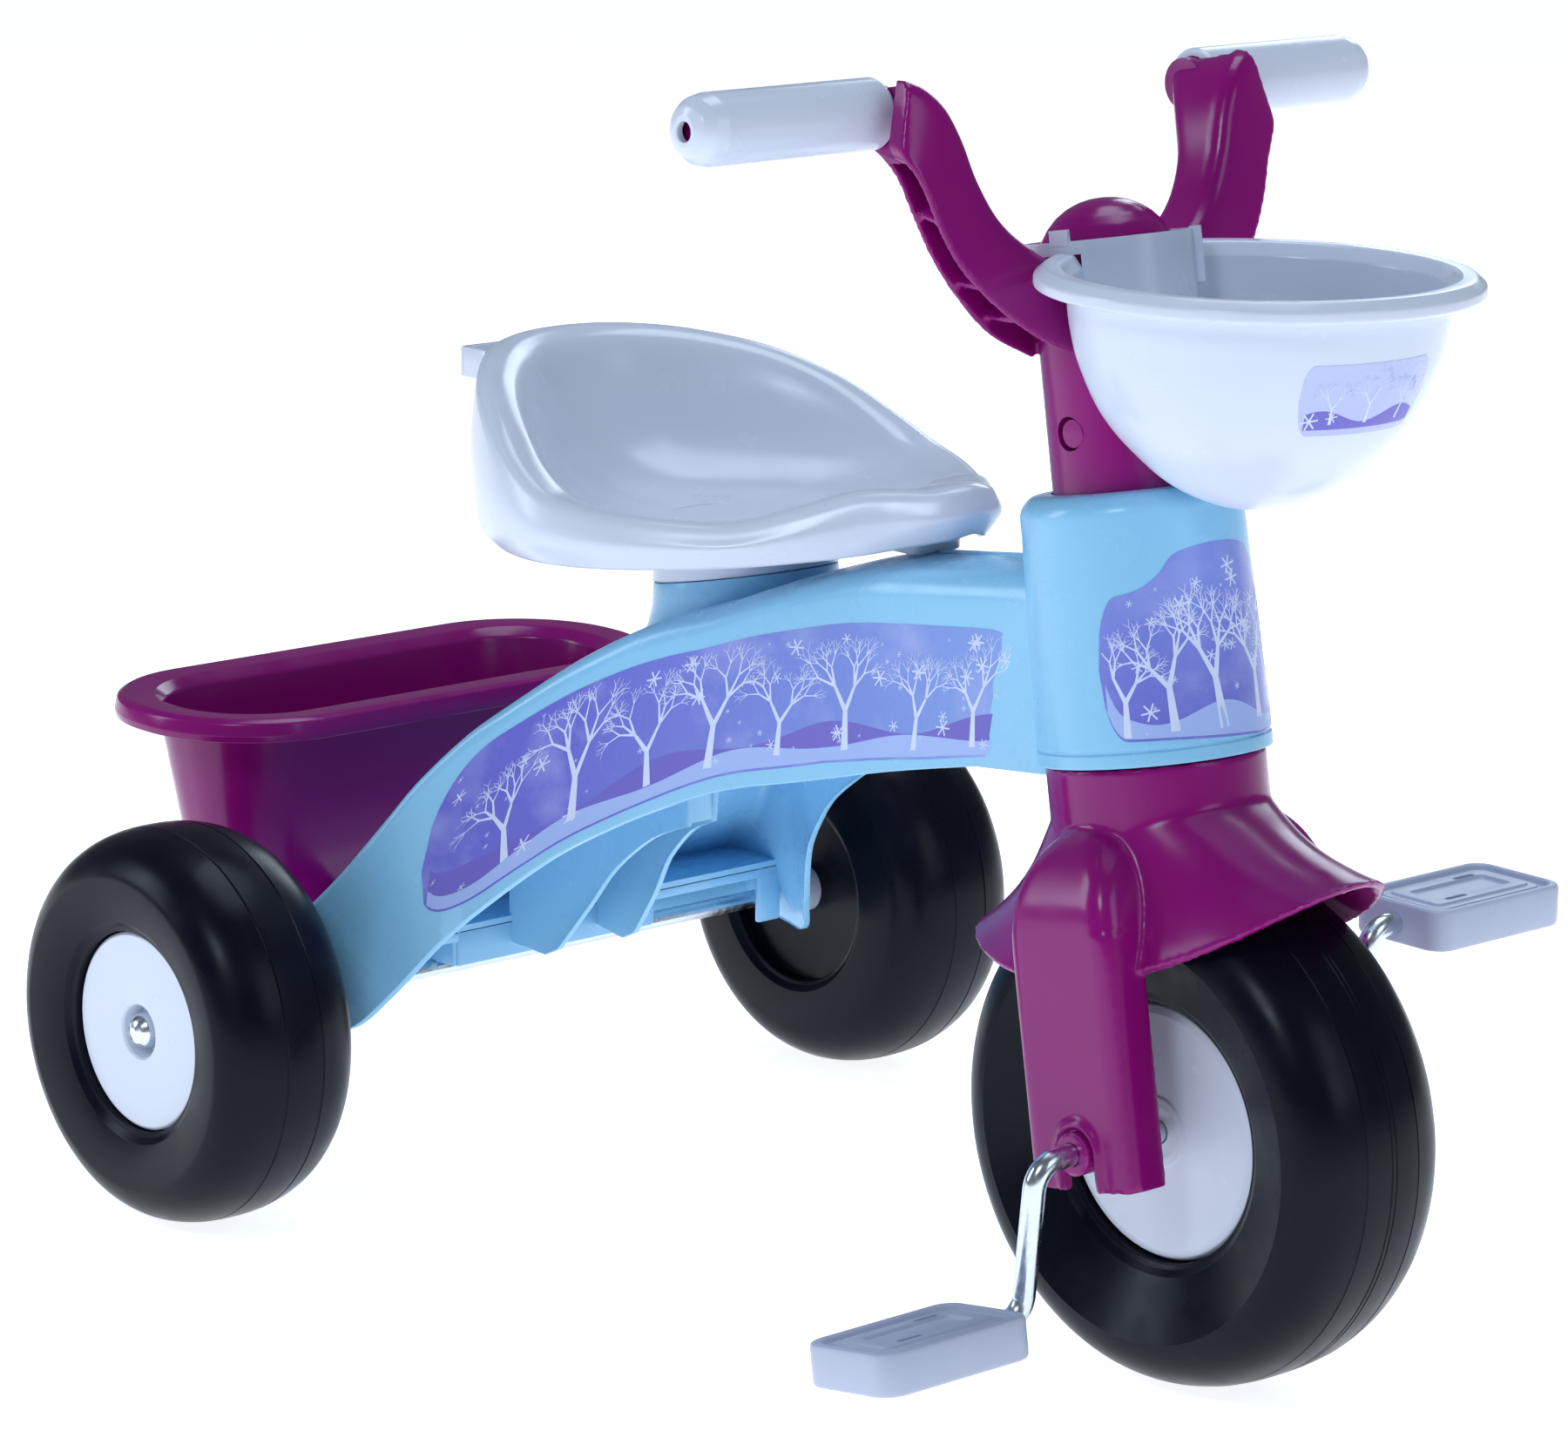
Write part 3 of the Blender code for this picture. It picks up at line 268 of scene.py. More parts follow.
def fuse(item, voxel, ease=3):
    """Merge overlapping shapes into one skin and ease the joins between them."""
    step = item.modifiers.new("fuse", "REMESH")
    step.mode = "VOXEL"
    step.voxel_size = voxel * MM
    step.use_smooth_shade = True
    soft = item.modifiers.new("ease", "SMOOTH")
    soft.factor = 0.5
    soft.iterations = ease
    settle(item)


def carve(item, *cutters, sharp=35.0):
    """Cut shapes out of a piece and drop the cutters."""
    for other in cutters:
        step = item.modifiers.new("carve", "BOOLEAN")
        step.object = other
        step.solver = "EXACT"
    settle(item)
    for other in cutters:
        bpy.data.objects.remove(other, do_unlink=True)
    item.data.shade_smooth()
    item.data.set_sharp_from_angle(angle=math.radians(sharp))


# ------------------------------------------------------------------ materials

SKIN_DEPTH = 0.00015           # metres of bump in moulded skin
CLOUD = (0.45, 0.50, 0.85)

def node(tree, kind, **values):
    """A node with its inputs set by name."""
    made = tree.nodes.new(kind)
    for key, value in values.items():
        made.inputs[key].default_value = value
    return made


def noise(tree, scale, detail=2.0):
    """Object-space noise; returns its value."""
    place = tree.nodes.new("ShaderNodeTexCoord")
    made = node(tree, "ShaderNodeTexNoise", Scale=scale, Detail=detail)
    tree.links.new(place.outputs["Object"], made.inputs["Vector"])
    return made.outputs["Fac"]


def spread(tree, value, low, high, source=(0.3, 0.7)):
    """A value mapped to a range."""
    made = tree.nodes.new("ShaderNodeMapRange")
    made.inputs["From Min"].default_value = source[0]
    made.inputs["From Max"].default_value = source[1]
    made.inputs["To Min"].default_value = low
    made.inputs["To Max"].default_value = high
    tree.links.new(value, made.inputs["Value"])
    return made.outputs["Result"]


def blended(tree, factor, first, second):
    """A colour between two, each a tuple or a socket."""
    made = tree.nodes.new("ShaderNodeMix")
    made.data_type = "RGBA"
    tree.links.new(factor, made.inputs["Factor"])
    for key, colour in (("A", first), ("B", second)):
        socket = next(s for s in made.inputs if s.name == key and s.type == "RGBA")
        if isinstance(colour, tuple):
            socket.default_value = (*colour, 1.0)
        else:
            tree.links.new(colour, socket)
    return next(s for s in made.outputs if s.type == "RGBA")


def bumped(tree, shader, height, strength, distance):
    """Gives a shader a bump from a height value."""
    made = node(tree, "ShaderNodeBump", Strength=strength, Distance=distance)
    tree.links.new(height, made.inputs["Height"])
    tree.links.new(made.outputs["Normal"], shader.inputs["Normal"])


def plastic(name, colour, deep, roughness, coat=0.0, orange_peel=0.05, edge_highlight=None, gloss=0.5):
    """Moulded plastic: faint flow marks in colour and gloss, fine skin texture, and a painted
    highlight that lightens sharp edges.
    """
    made = bpy.data.materials.new(name)
    made.use_nodes = True
    tree = made.node_tree
    shader = tree.nodes["Principled BSDF"]
    shader.inputs["Coat Weight"].default_value = coat
    shader.inputs["Coat Roughness"].default_value = 0.08
    shader.inputs["Specular IOR Level"].default_value = gloss
    flow = noise(tree, 14.0, 3.0)
    tint = blended(tree, flow, colour, deep)
    # painted highlight: sharp edges, found by pointiness, are mixed towards a lighter copy of the
    # colour
    if edge_highlight:
        edges = tree.nodes.new("ShaderNodeNewGeometry")
        edge_highlight_mask = spread(tree, edges.outputs["Pointiness"], 0.0, 0.35, (0.52, 0.62))
        tint = blended(tree, edge_highlight_mask, tint, edge_highlight)
    tree.links.new(tint, shader.inputs["Base Color"])
    low, high = roughness
    tree.links.new(spread(tree, noise(tree, 55.0), low, high), shader.inputs["Roughness"])
    bumped(tree, shader, noise(tree, 420.0, 3.0), orange_peel, SKIN_DEPTH)
    return made


def zinc(name):
    """Bright zinc plate with drawn streaks in its gloss."""
    made = bpy.data.materials.new(name)
    made.use_nodes = True
    tree = made.node_tree
    shader = tree.nodes["Principled BSDF"]
    shader.inputs["Metallic"].default_value = 1.0
    tint = blended(tree, noise(tree, 90.0, 4.0), (0.80, 0.84, 0.88), (0.58, 0.64, 0.70))
    tree.links.new(tint, shader.inputs["Base Color"])
    tree.links.new(spread(tree, noise(tree, 300.0, 4.0), 0.14, 0.32), shader.inputs["Roughness"])
    bumped(tree, shader, noise(tree, 900.0, 2.0), 0.08, 0.0001)
    return made


def sky_print(name, axis, reach, first, second):
    """Printed winter sky: one tint drifting into another along an axis, with soft cloud."""
    made = bpy.data.materials.new(name)
    made.use_nodes = True
    tree = made.node_tree
    shader = tree.nodes["Principled BSDF"]
    shader.inputs["Coat Weight"].default_value = 0.4
    shader.inputs["Coat Roughness"].default_value = 0.12
    place = tree.nodes.new("ShaderNodeTexCoord")
    split = tree.nodes.new("ShaderNodeSeparateXYZ")
    tree.links.new(place.outputs["Object"], split.inputs["Vector"])
    drift = spread(tree, split.outputs[axis], 0.0, 1.0, reach)
    tint = blended(tree, drift, first, second)
    cloud = spread(tree, noise(tree, 38.0, 4.0), 0.0, 0.45, (0.5, 0.75))
    tint = blended(tree, cloud, tint, CLOUD)
    tree.links.new(tint, shader.inputs["Base Color"])
    tree.links.new(spread(tree, noise(tree, 80.0), 0.22, 0.34), shader.inputs["Roughness"])
    bumped(tree, shader, noise(tree, 260.0, 2.0), 0.04, 0.0001)
    return made


def studio_floor(name):
    """A pale matt floor that glows a little, so that it reads as white as its background."""
    made = bpy.data.materials.new(name)
    made.use_nodes = True
    tree = made.node_tree
    shader = tree.nodes["Principled BSDF"]
    tint = blended(tree, noise(tree, 3.0), (0.93, 0.94, 0.96), (0.90, 0.91, 0.94))
    tree.links.new(tint, shader.inputs["Base Color"])
    shader.inputs["Roughness"].default_value = 0.8
    shader.inputs["Emission Color"].default_value = (0.94, 0.97, 1.0, 1.0)
    shader.inputs["Emission Strength"].default_value = 0.92
    return made


# the last, lighter colour given to a plastic is a painted highlight for its sharp edges
MATERIALS = {
    "blue": plastic("sky_blue_plastic", (0.28, 0.60, 0.86), (0.25, 0.56, 0.83), (0.20, 0.32),
                    coat=0.05, orange_peel=0.04, edge_highlight=(0.40, 0.70, 0.92), gloss=0.45),
    "magenta": plastic("magenta_plastic", (0.27, 0.003, 0.17), (0.24, 0.003, 0.15), (0.16, 0.26),
                       orange_peel=0.04, edge_highlight=(0.36, 0.02, 0.25), gloss=0.32),
    "white": plastic("white_plastic", (0.70, 0.74, 0.86), (0.67, 0.71, 0.84), (0.18, 0.28),
                     orange_peel=0.03, edge_highlight=(0.76, 0.80, 0.90)),
    "pedal": plastic("pedal_plastic", (0.52, 0.56, 0.70), (0.49, 0.53, 0.68), (0.34, 0.48),
                     orange_peel=0.08, edge_highlight=(0.66, 0.70, 0.82), gloss=0.4),
    "black": plastic("black_plastic", (0.002, 0.003, 0.008), (0.003, 0.004, 0.010), (0.24, 0.36),
                     orange_peel=0.10, edge_highlight=(0.008, 0.010, 0.018), gloss=0.14),
    "steel": zinc("zinc_plated_steel"),
    "band": sky_print("band_print", "X", (-0.07, 0.16), (0.115, 0.11, 0.60), (0.17, 0.30, 0.72)),
    "shield": sky_print("shield_print", "Z", (0.24, 0.32), (0.12, 0.11, 0.58), (0.22, 0.28, 0.74)),
    "label": sky_print("label_print", "Z", (0.36, 0.42), (0.42, 0.44, 0.80), (0.52, 0.58, 0.88)),
    "snow": plastic("print_white", (0.70, 0.76, 0.95), (0.60, 0.67, 0.92), (0.3, 0.4)),
    "hills": plastic("print_violet", (0.13, 0.10, 0.50), (0.18, 0.15, 0.60), (0.3, 0.4)),
    "pale_hills": plastic("print_pale_blue", (0.40, 0.52, 0.88), (0.33, 0.45, 0.85), (0.3, 0.4)),
}


# ------------------------------------------------------------------ frame

# x, bottom half width, bottom z, top half width, top z: sections of the beam from the collar back
BEAM = [
    (-75.0, 31.0, 233.5, 31.0, 309.5), (-107.0, 33.0, 227.0, 32.0, 305.0),
    (-140.0, 36.0, 219.5, 34.0, 300.5), (-165.0, 40.0, 213.0, 37.0, 296.5),
    (-190.0, 45.0, 206.5, 42.0, 289.0), (-213.0, 51.0, 201.0, 47.0, 281.0),
    (-232.0, 57.0, 194.5, 52.0, 273.0), (-252.0, 63.0, 185.5, 57.0, 266.0),
    (-272.0, 70.0, 175.0, 63.0, 257.0), (-299.0, 80.0, 158.0, 72.0, 241.0),
    (-326.0, 94.0, 134.0, 85.0, 220.0), (-341.0, 105.0, 117.0, 95.0, 206.0),
    (-357.0, 119.0, 93.0, 107.0, 186.0), (-370.0, 130.0, 78.0, 115.0, 167.0),
    (-390.0, 138.0, 76.0, 124.0, 141.0), (-410.0, 143.0, 76.0, 131.0, 120.0),
    (-432.0, 146.0, 78.0, 137.0, 100.0),
]
BEAM_ROWS = refined(BEAM, 6)
BEAM_CORNER, BEAM_CROWN, BEAM_WALL = 11.0, 3.0, 3.0
BEAM_END_X, BEAM_FREE_X = -432.0, -92.0      # the beam's back, and where it leaves the collar
COLLAR_MID_R = 41.0
RIB_HALF = 1.5


def beam_side(row, share):
    """A point (y, z) of the beam's side panel; share 0 is its lower edge, 1 its top corner."""
    _, low_y, low_z, top_y, top_z = row
    high = top_z - BEAM_CORNER
    return low_y + (top_y - low_y) * share, low_z + (high - low_z) * share


def beam_half(row, wall, inset):
    """Half of a section, from the lower edge over the corner to the crown, wall inside the skin."""
    _, low_y, low_z, top_y, top_z = row
    top_z -= wall + inset
    corner = BEAM_CORNER - wall - inset
    low_y, top_y = low_y - wall - inset, top_y - wall - inset
    high = top_z - corner
    half = [(low_y - 0.5, low_z), (low_y, low_z + 0.6)]
    half += [(low_y + (top_y - low_y) * t, low_z + (high - low_z) * t) for t in (0.2, 0.5, 0.8)]
    for k in range(7):
        turn = math.radians(15.0 * k)
        half.append((top_y - corner + corner * math.cos(turn), high + corner * math.sin(turn)))
    flat = top_y - corner
    for share in (0.75, 0.5, 0.25):
        half.append((flat * share, top_z + BEAM_CROWN * (1.0 - share * share)))
    return half


def beam_section(row, inset=0.0):
    """The closed inverted-U section, outer skin then inner skin."""
    x, _, _, _, top_z = row
    outer, inner = beam_half(row, 0.0, inset), beam_half(row, BEAM_WALL, 0.0)
    crown = (0.0, top_z - inset + BEAM_CROWN)
    inside = (0.0, top_z - BEAM_WALL + BEAM_CROWN)
    path = [(-y, z) for y, z in outer] + [crown] + [(y, z) for y, z in reversed(outer)]
    path += [(y, z) for y, z in inner] + [inside] + [(-y, z) for y, z in reversed(inner)]
    return [(x, y, z) for y, z in path]


def column_x(z):
    """Where the raked column's axis is at a height."""
    foot_x, foot_z = COLUMN_F * math.cos(RAKE), FRONT_R + COLUMN_F * math.sin(RAKE)
    return foot_x - (z - foot_z) * math.tan(RAKE)


def beam():
    """The beam's shell; its front end stops inside the collar's wall."""
    front = []
    for _, y, z in beam_section(BEAM[0]):
        reach = math.sqrt(max(COLLAR_MID_R ** 2 - y * y, 0.0))
        front.append((column_x(z) - reach, y, z))
    rings = [front]
    rings += [beam_section(row) for row in BEAM_ROWS if BEAM_END_X + 1.0 < row[0] < BEAM_FREE_X]
    last = BEAM_ROWS[-1]
    for x, inset in ((BEAM_END_X + 0.8, 0.25), (BEAM_END_X, 1.0)):
        rings.append([(x, y, z) for _, y, z in beam_section(last, inset)])
    return loft(rings)


def end_wall():
    """The plate that closes the beam behind."""
    row = BEAM_ROWS[-1]
    outer = beam_half(row, 1.0, 0.0)
    crown = (0.0, row[4] - 1.0 + BEAM_CROWN)
    path = [(-y, z) for y, z in outer] + [crown] + [(y, z) for y, z in reversed(outer)]
    return loft([[(x, y, z) for y, z in path] for x in (BEAM_END_X + 0.2, BEAM_END_X + BEAM_WALL)])


def collar():
    """The steering head: a thick sleeve with a rounded shoulder and a thin lip below."""
    profile = filleted([(30.3, 247.0, 0.3), (38.4, 246.6, 7.0), (42.9, 241.2, 8.0),
                        (43.1, 230.0, 4.0), (45.2, 152.0, 0.6), (45.2, 150.6, 0.3),
                        (44.6, 150.0, 0.3), (44.6, 149.2, 0.3), (45.4, 148.6, 0.3),
                        (45.5, 143.5, 0.8), (43.3, 143.5, 0.4), (43.0, 152.0, 0.5),
                        (38.6, 156.0, 0.5), (38.6, 239.0, 0.5), (30.3, 239.0, 0.5)],
                       1.0, 5, True)
    return turned(profile, 128)


def pedestal():
    """The round post under the seat, its top tilted like the seat, flared into the beam."""
    rings = []
    for radius, level, share in ((43.5, 246.0, 0.0), (40.5, 254.0, 0.3), (39.0, 262.0, 0.6),
                                 (38.5, 268.0, 0.8), (38.5, 274.2, 1.0), (38.2, 274.8, 1.0),
                                 (37.5, 275.0, 1.0), (35.5, 275.0, 1.0), (35.5, 250.0, 1.0)):
        ring = []
        for k in range(FINE):
            turn = 2.0 * math.pi * k / FINE
            x = radius * math.cos(turn)
            ring.append((SEAT_POST_X + x, radius * math.sin(turn), level + SEAT_TILT * x * share))
        rings.append(ring)
    return loft(rings)


def cross_bar():
    """The channel across the beam's foot, over the rear axle."""
    top = [(-424.0, -138.5, 103.0), (-390.0, -129.5, 103.0), (-390.0, 129.5, 103.0),
           (-424.0, 138.5, 103.0)]
    shapes = [loft([[(x, y, z + rise) for x, y, z in top] for rise in (0.0, 3.0)])]
    shapes.append(slab((-424.0, -139.5, 78.0), (-421.0, 139.5, 104.0)))
    shapes.append(slab((-393.0, -55.0, 88.0), (-390.0, 55.0, 104.0)))
    for side, _ in SIDES:
        low, high = beside(side, 54.0, 119.0)
        shapes.append(slab((-393.0, low, 99.0), (-390.0, high, 104.0)))
        low, high = beside(side, 118.0, 131.0)
        shapes.append(slab((-393.0, low, 78.0), (-390.0, high, 104.0)))
        low, high = beside(side, 54.0, 57.0)
        shapes.append(slab((-423.0, low, 88.0), (-391.0, high, 104.0)))
    return shapes


def ribs():
    """Two webs that make a V under the pedestal, and the short plate between them."""
    shapes = []
    for side, _ in SIDES:
        lower = refined([(-362.0, 21.5, 96.0), (-345.0, 18.5, 118.0), (-331.4, 15.0, 137.0),
                         (-312.0, 11.0, 154.0), (-294.0, 7.0, 162.0)], 4)
        outline = [(-392.0, 24.0, 94.0), (-370.0, 21.8, 92.0)] + lower
        outline += [(-288.0, 7.0, 246.0), (-331.4, 15.0, 213.0), (-362.0, 21.5, 176.0),
                    (-392.0, 24.0, 132.0)]
        shapes.append(plate([(x, side * y, z) for x, y, z in outline], (0.0, 1.0, 0.0), RIB_HALF))
    shapes.append(slab((-297.0, -8.0, 163.0), (-294.0, 8.0, 240.0)))
    return shapes


def spine():
    """The low ridge along the beam's top, from the collar back."""
    start = column_x(300.0) - 40.0
    outline = [(start, 308.5), (-95.0, 310.2), (-151.0, 303.0), (-151.0, 298.0), (-95.0, 305.0),
               (start, 306.0)]
    return plate([(x, 0.0, z) for x, z in outline], (0.0, 1.0, 0.0), RIB_HALF)


def frame_piece():
    """The blue moulding: beam, collar, pedestal, cross bar and ribs."""
    shapes = [beam(), end_wall(), pedestal(), spine()] + cross_bar() + ribs()
    to_chassis = shift(FRONT_AXLE_X, 0.0, 0.0).inverted() @ STEERING_MM
    shapes.append(moved(collar(), to_chassis))
    item = piece("frame_moulding", shapes, CHASSIS_MM, "blue")
    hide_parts("frame_shell")
    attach(item, "frame")


# ------------------------------------------------------------------ seat and bin

# half of the seat's crest from the nose to the back: x, y, z, and the skirt's lower edge z
SEAT_CREST = [
    (-134.0, 0.0, 332.0, 312.0), (-136.5, 8.0, 331.0, 310.0), (-143.0, 15.0, 329.5, 308.0),
    (-154.0, 23.0, 329.0, 305.0), (-165.0, 33.0, 327.5, 302.0), (-180.0, 49.0, 321.0, 299.0),
    (-200.0, 68.0, 314.0, 296.0), (-226.0, 87.0, 314.0, 293.5), (-248.0, 99.0, 315.5, 292.0),
    (-270.0, 104.0, 319.5, 291.0), (-292.0, 102.0, 329.0, 290.5), (-316.0, 93.0, 342.0, 290.5),
    (-342.0, 77.0, 352.5, 291.0), (-368.0, 53.0, 359.0, 293.0), (-386.0, 28.0, 361.5, 295.0),
    (-392.0, 0.0, 362.0, 296.0),
]
SEAT_MIDDLE = (-275.0, 0.0, 296.0)
SEAT_WALL = 2.8


def seat_rings():
    """Rings of the seat's outer skirt, rolled crest and basin, each a full turn round the seat."""
    full = SEAT_CREST + [(x, -y, z, low) for x, y, z, low in reversed(SEAT_CREST[1:-1])]
    full = refined(full, 5, True)
    count = len(full)
    mid_x, mid_y, mid_z = SEAT_MIDDLE
    columns = []
    for i, (x, y, z, low) in enumerate(full):
        before, after = full[i - 2], full[(i + 2) % count]
        along = Vector((after[0] - before[0], after[1] - before[1], 0.0)).normalized()
        out = Vector((along.y, -along.x, 0.0))
        if out.dot(Vector((x - mid_x, y - mid_y, 0.0))) < 0.0:
            out = -out
        horn = min(max((x + 185.0) / 30.0, 0.0), 1.0)
        column = [(x + push * out.x, y + push * out.y, level) for push, level in
                  ((1.0, low), (5.2, low + 6.0), (7.6, (low + z) / 2), (5.8, z - 5.5),
                   (3.4, z - 1.6), (0.0, z))]
        for inward, depth in ((0.03, 0.0), (0.075, 0.025), (0.12, 0.10 - 0.04 * horn),
                              (0.19, 0.36 - 0.22 * horn), (0.32, 0.68 - 0.25 * horn),
                              (0.5, 0.90 - 0.14 * horn), (0.74, 0.985), (0.999, 1.0)):
            column.append((x + inward * (mid_x - x), y + inward * (mid_y - y),
                           z + depth * (mid_z - z)))
        columns.append(refined(column, 4))
    return [list(ring) for ring in zip(*columns)]


def seat_piece():
    """The bucket seat, its ring on the pedestal, front leg, and lug for a push bar."""
    rings = seat_rings()
    points, faces = loft(rings, False)
    count = len(rings[0])
    faces.append(tuple(len(points) - count + i for i in range(count)))
    shell = piece("seat_moulding", [(points, faces)], CHASSIS_MM, "white", 60.0)
    solid = shell.modifiers.new("wall", "SOLIDIFY")
    solid.thickness = SEAT_WALL * MM
    solid.offset = seat_offset(shell)
    settle(shell)
    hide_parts("seat")
    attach(shell, "frame")
    seat_fittings()


def seat_offset(shell):
    """Which way the hidden side of the seat's skin lies: against its normals, or along them."""
    upward = sum(p.normal.z * p.area for p in shell.data.polygons if p.normal.z != 0.0)
    return -1.0 if upward > 0.0 else 1.0


def seat_fittings():
    """What is moulded under and behind the bucket: ring, front leg, and the lug's four walls."""
    rings = []
    for radius, lift, level in ((38.7, 0.9, None), (38.7, 2.0, None), (38.2, 0.0, 297.0),
                                (35.6, 0.0, 297.0), (35.6, 0.5, None), (36.2, 0.3, None),
                                (38.2, 0.35, None)):
        ring = []
        for k in range(FINE):
            turn = 2.0 * math.pi * k / FINE
            x = radius * math.cos(turn)
            z = level if level else SEAT_POST_TOP + lift + SEAT_TILT * x
            ring.append((SEAT_POST_X + x, radius * math.sin(turn), z))
        rings.append(ring)
    shapes = [loft(rings + [rings[0]], False)]
    shapes.append(slab((-184.0, -13.0, 301.6), (-152.0, 13.0, 315.0), 3.0, 0.8))
    for low, high in (((-418.0, -32.0, 340.0), (-414.5, 32.0, 353.0)),
                      ((-402.0, -32.0, 340.0), (-390.0, 32.0, 353.0)),
                      ((-417.0, -32.0, 340.0), (-391.0, -28.0, 353.0)),
                      ((-417.0, 28.0, 340.0), (-391.0, 32.0, 353.0))):
        shapes.append(slab(low, high, 1.2, 0.8))
    item = piece("seat_fittings", shapes, CHASSIS_MM, "white")
    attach(item, "frame")


BIN_MIDDLE_X = -509.5
BIN_RIM = (60.5, 135.0, 58.0)
# (inset from the rim's edge, height) of the bin's closed wall, from the hidden floor up and over
BIN_OUTER = [(40.5, 92.0, 5.0), (36.0, 95.5, 4.0), (20.6, 176.0, 3.0), (19.0, 187.2, 3.0),
             (4.5, 189.2, 2.0), (3.4, 182.6, 0.6), (0.6, 182.0, 0.6), (0.0, 185.0, 2.0),
             (1.2, 190.4, 2.0), (4.0, 192.0, 2.0), (17.0, 191.4, 3.0), (21.8, 187.0, 3.0),
             (23.6, 176.0, 3.0), (38.5, 100.0, 4.0), (43.0, 95.0, 4.0)]


def bin_piece():
    """The bin behind the seat: a flat rolled lip, tapered walls and a floor."""
    half_x, half_y, corner = BIN_RIM
    rings = []
    for inset, z in filleted(BIN_OUTER, 2.0, 4):
        outline = rounded_rect(half_x - inset, half_y - inset, corner - inset, 20)
        rings.append([(BIN_MIDDLE_X + x, y, z) for x, y in outline])
    shapes = [loft(rings)]
    for side, _ in SIDES:
        low, high = beside(side, 41.0, 59.0)
        shapes.append(slab((-491.0, low, 82.5), (-432.4, high, 98.0), 2.0, 1.0))
    item = piece("bin_moulding", shapes, CHASSIS_MM, "magenta")
    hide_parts("rear_bin")
    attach(item, "frame")


# ------------------------------------------------------------------ fork

# height, inner and outer faces, rear and front edges of a fork leg
LEG = [(-15.0, 45.0, 65.0, -26.0, 30.0), (30.0, 45.0, 65.0, -26.0, 30.0),
       (72.0, 45.0, 65.0, -26.0, 30.0), (84.0, 44.0, 64.6, -25.8, 29.8)]
LEG_TOP = [(78.0, 42.0, 64.8, -25.8, 29.8), (88.0, 39.0, 64.1, -25.2, 29.0),
           (98.0, 36.0, 61.6, -23.6, 27.0), (108.0, 32.0, 56.4, -20.0, 23.0),
           (116.0, 27.0, 49.2, -14.5, 17.0), (122.0, 22.0, 41.0, -7.0, 9.0)]
LEG_WALL, LEG_FOOT = 3.0, -15.0
BUSH_F, BUSH_SEAT_R, BUSH_SEAT_Y = 4.0, 8.8, (55.0, 76.0)
SLOT_HALF = 8.2
SKIRT_MIDDLE_F, SKIRT_HALF = 2.5, (100.3, 52.3)
SKIRT_RIM, SKIRT_NOSE_RISE, SKIRT_SADDLE = 75.75, 8.5, 11.75
# how far out and how far down a line of the skirt runs from the column to the rim
SKIRT = [(0.0, 0.0), (0.13, 0.18), (0.33, 0.45), (0.55, 0.68), (0.8, 0.88), (1.0, 1.0)]
SKIRT_TOP = (40.5, 126.0)


def skirt():
    """The mudguard skirt between the fork legs, with a saddle-shaped rim."""
    shares = refined(SKIRT, 5)
    outer = []
    for radial, down in shares:
        ring = []
        for k in range(160):
            turn = 2.0 * math.pi * k / 160
            rim = (SKIRT_MIDDLE_F + SKIRT_HALF[0] * math.cos(turn), SKIRT_HALF[1] * math.sin(turn),
                   SKIRT_RIM + SKIRT_NOSE_RISE * math.cos(turn)
                   + SKIRT_SADDLE * math.cos(2.0 * turn))
            top = (SKIRT_TOP[0] * math.cos(turn), SKIRT_TOP[0] * math.sin(turn))
            ring.append((top[0] + radial * (rim[0] - top[0]), top[1] + radial * (rim[1] - top[1]),
                         SKIRT_TOP[1] + down * (rim[2] - SKIRT_TOP[1])))
        outer.append(ring)
    inner = [[(f * 0.972, y * 0.945, s - 2.6) for f, y, s in ring] for ring in outer]
    return loft(outer + list(reversed(inner)) + [outer[0]], False)


def fork_leg(side):
    """A channel open towards the wheel, and the rounded shoulder that runs into the skirt."""
    rings = []
    for s, inner, outer, rear, front in refined(LEG, 6):
        path = [(inner, front, 1.2), (outer, front, 11.0), (outer, rear, 9.0), (inner, rear, 1.2),
                (inner, rear + LEG_WALL, 1.2), (outer - LEG_WALL, rear + LEG_WALL, 6.0),
                (outer - LEG_WALL, front - LEG_WALL, 8.0), (inner, front - LEG_WALL, 1.2)]
        rings.append([(f, side * y, s) for y, f in filleted(path, 1.0, 8, True)])
    shoulder = []
    for s, inner, outer, rear, front in refined(LEG_TOP, 4):
        path = [(inner, front, 3.0), (outer, front, 10.5), (outer, rear, 9.0), (inner, rear, 3.0)]
        shoulder.append([(f, side * y, s) for y, f in filleted(path, 3.0, 8, True)])
    return [loft(rings), loft(shoulder)]


def slot_lip(side):
    """The raised upside-down U round a leg's axle slot."""
    half, rise = 10.56, 11.4
    path = [(half, LEG_FOOT), (half, -4.0)]
    for k in range(13):
        turn = math.radians(15.0 * k)
        path.append((half * math.cos(turn), rise * math.sin(turn)))
    path += [(-half, -4.0), (-half, LEG_FOOT)]
    return tube([(BUSH_F + f, side * 65.3, s) for f, s in path], 1.9, 12)


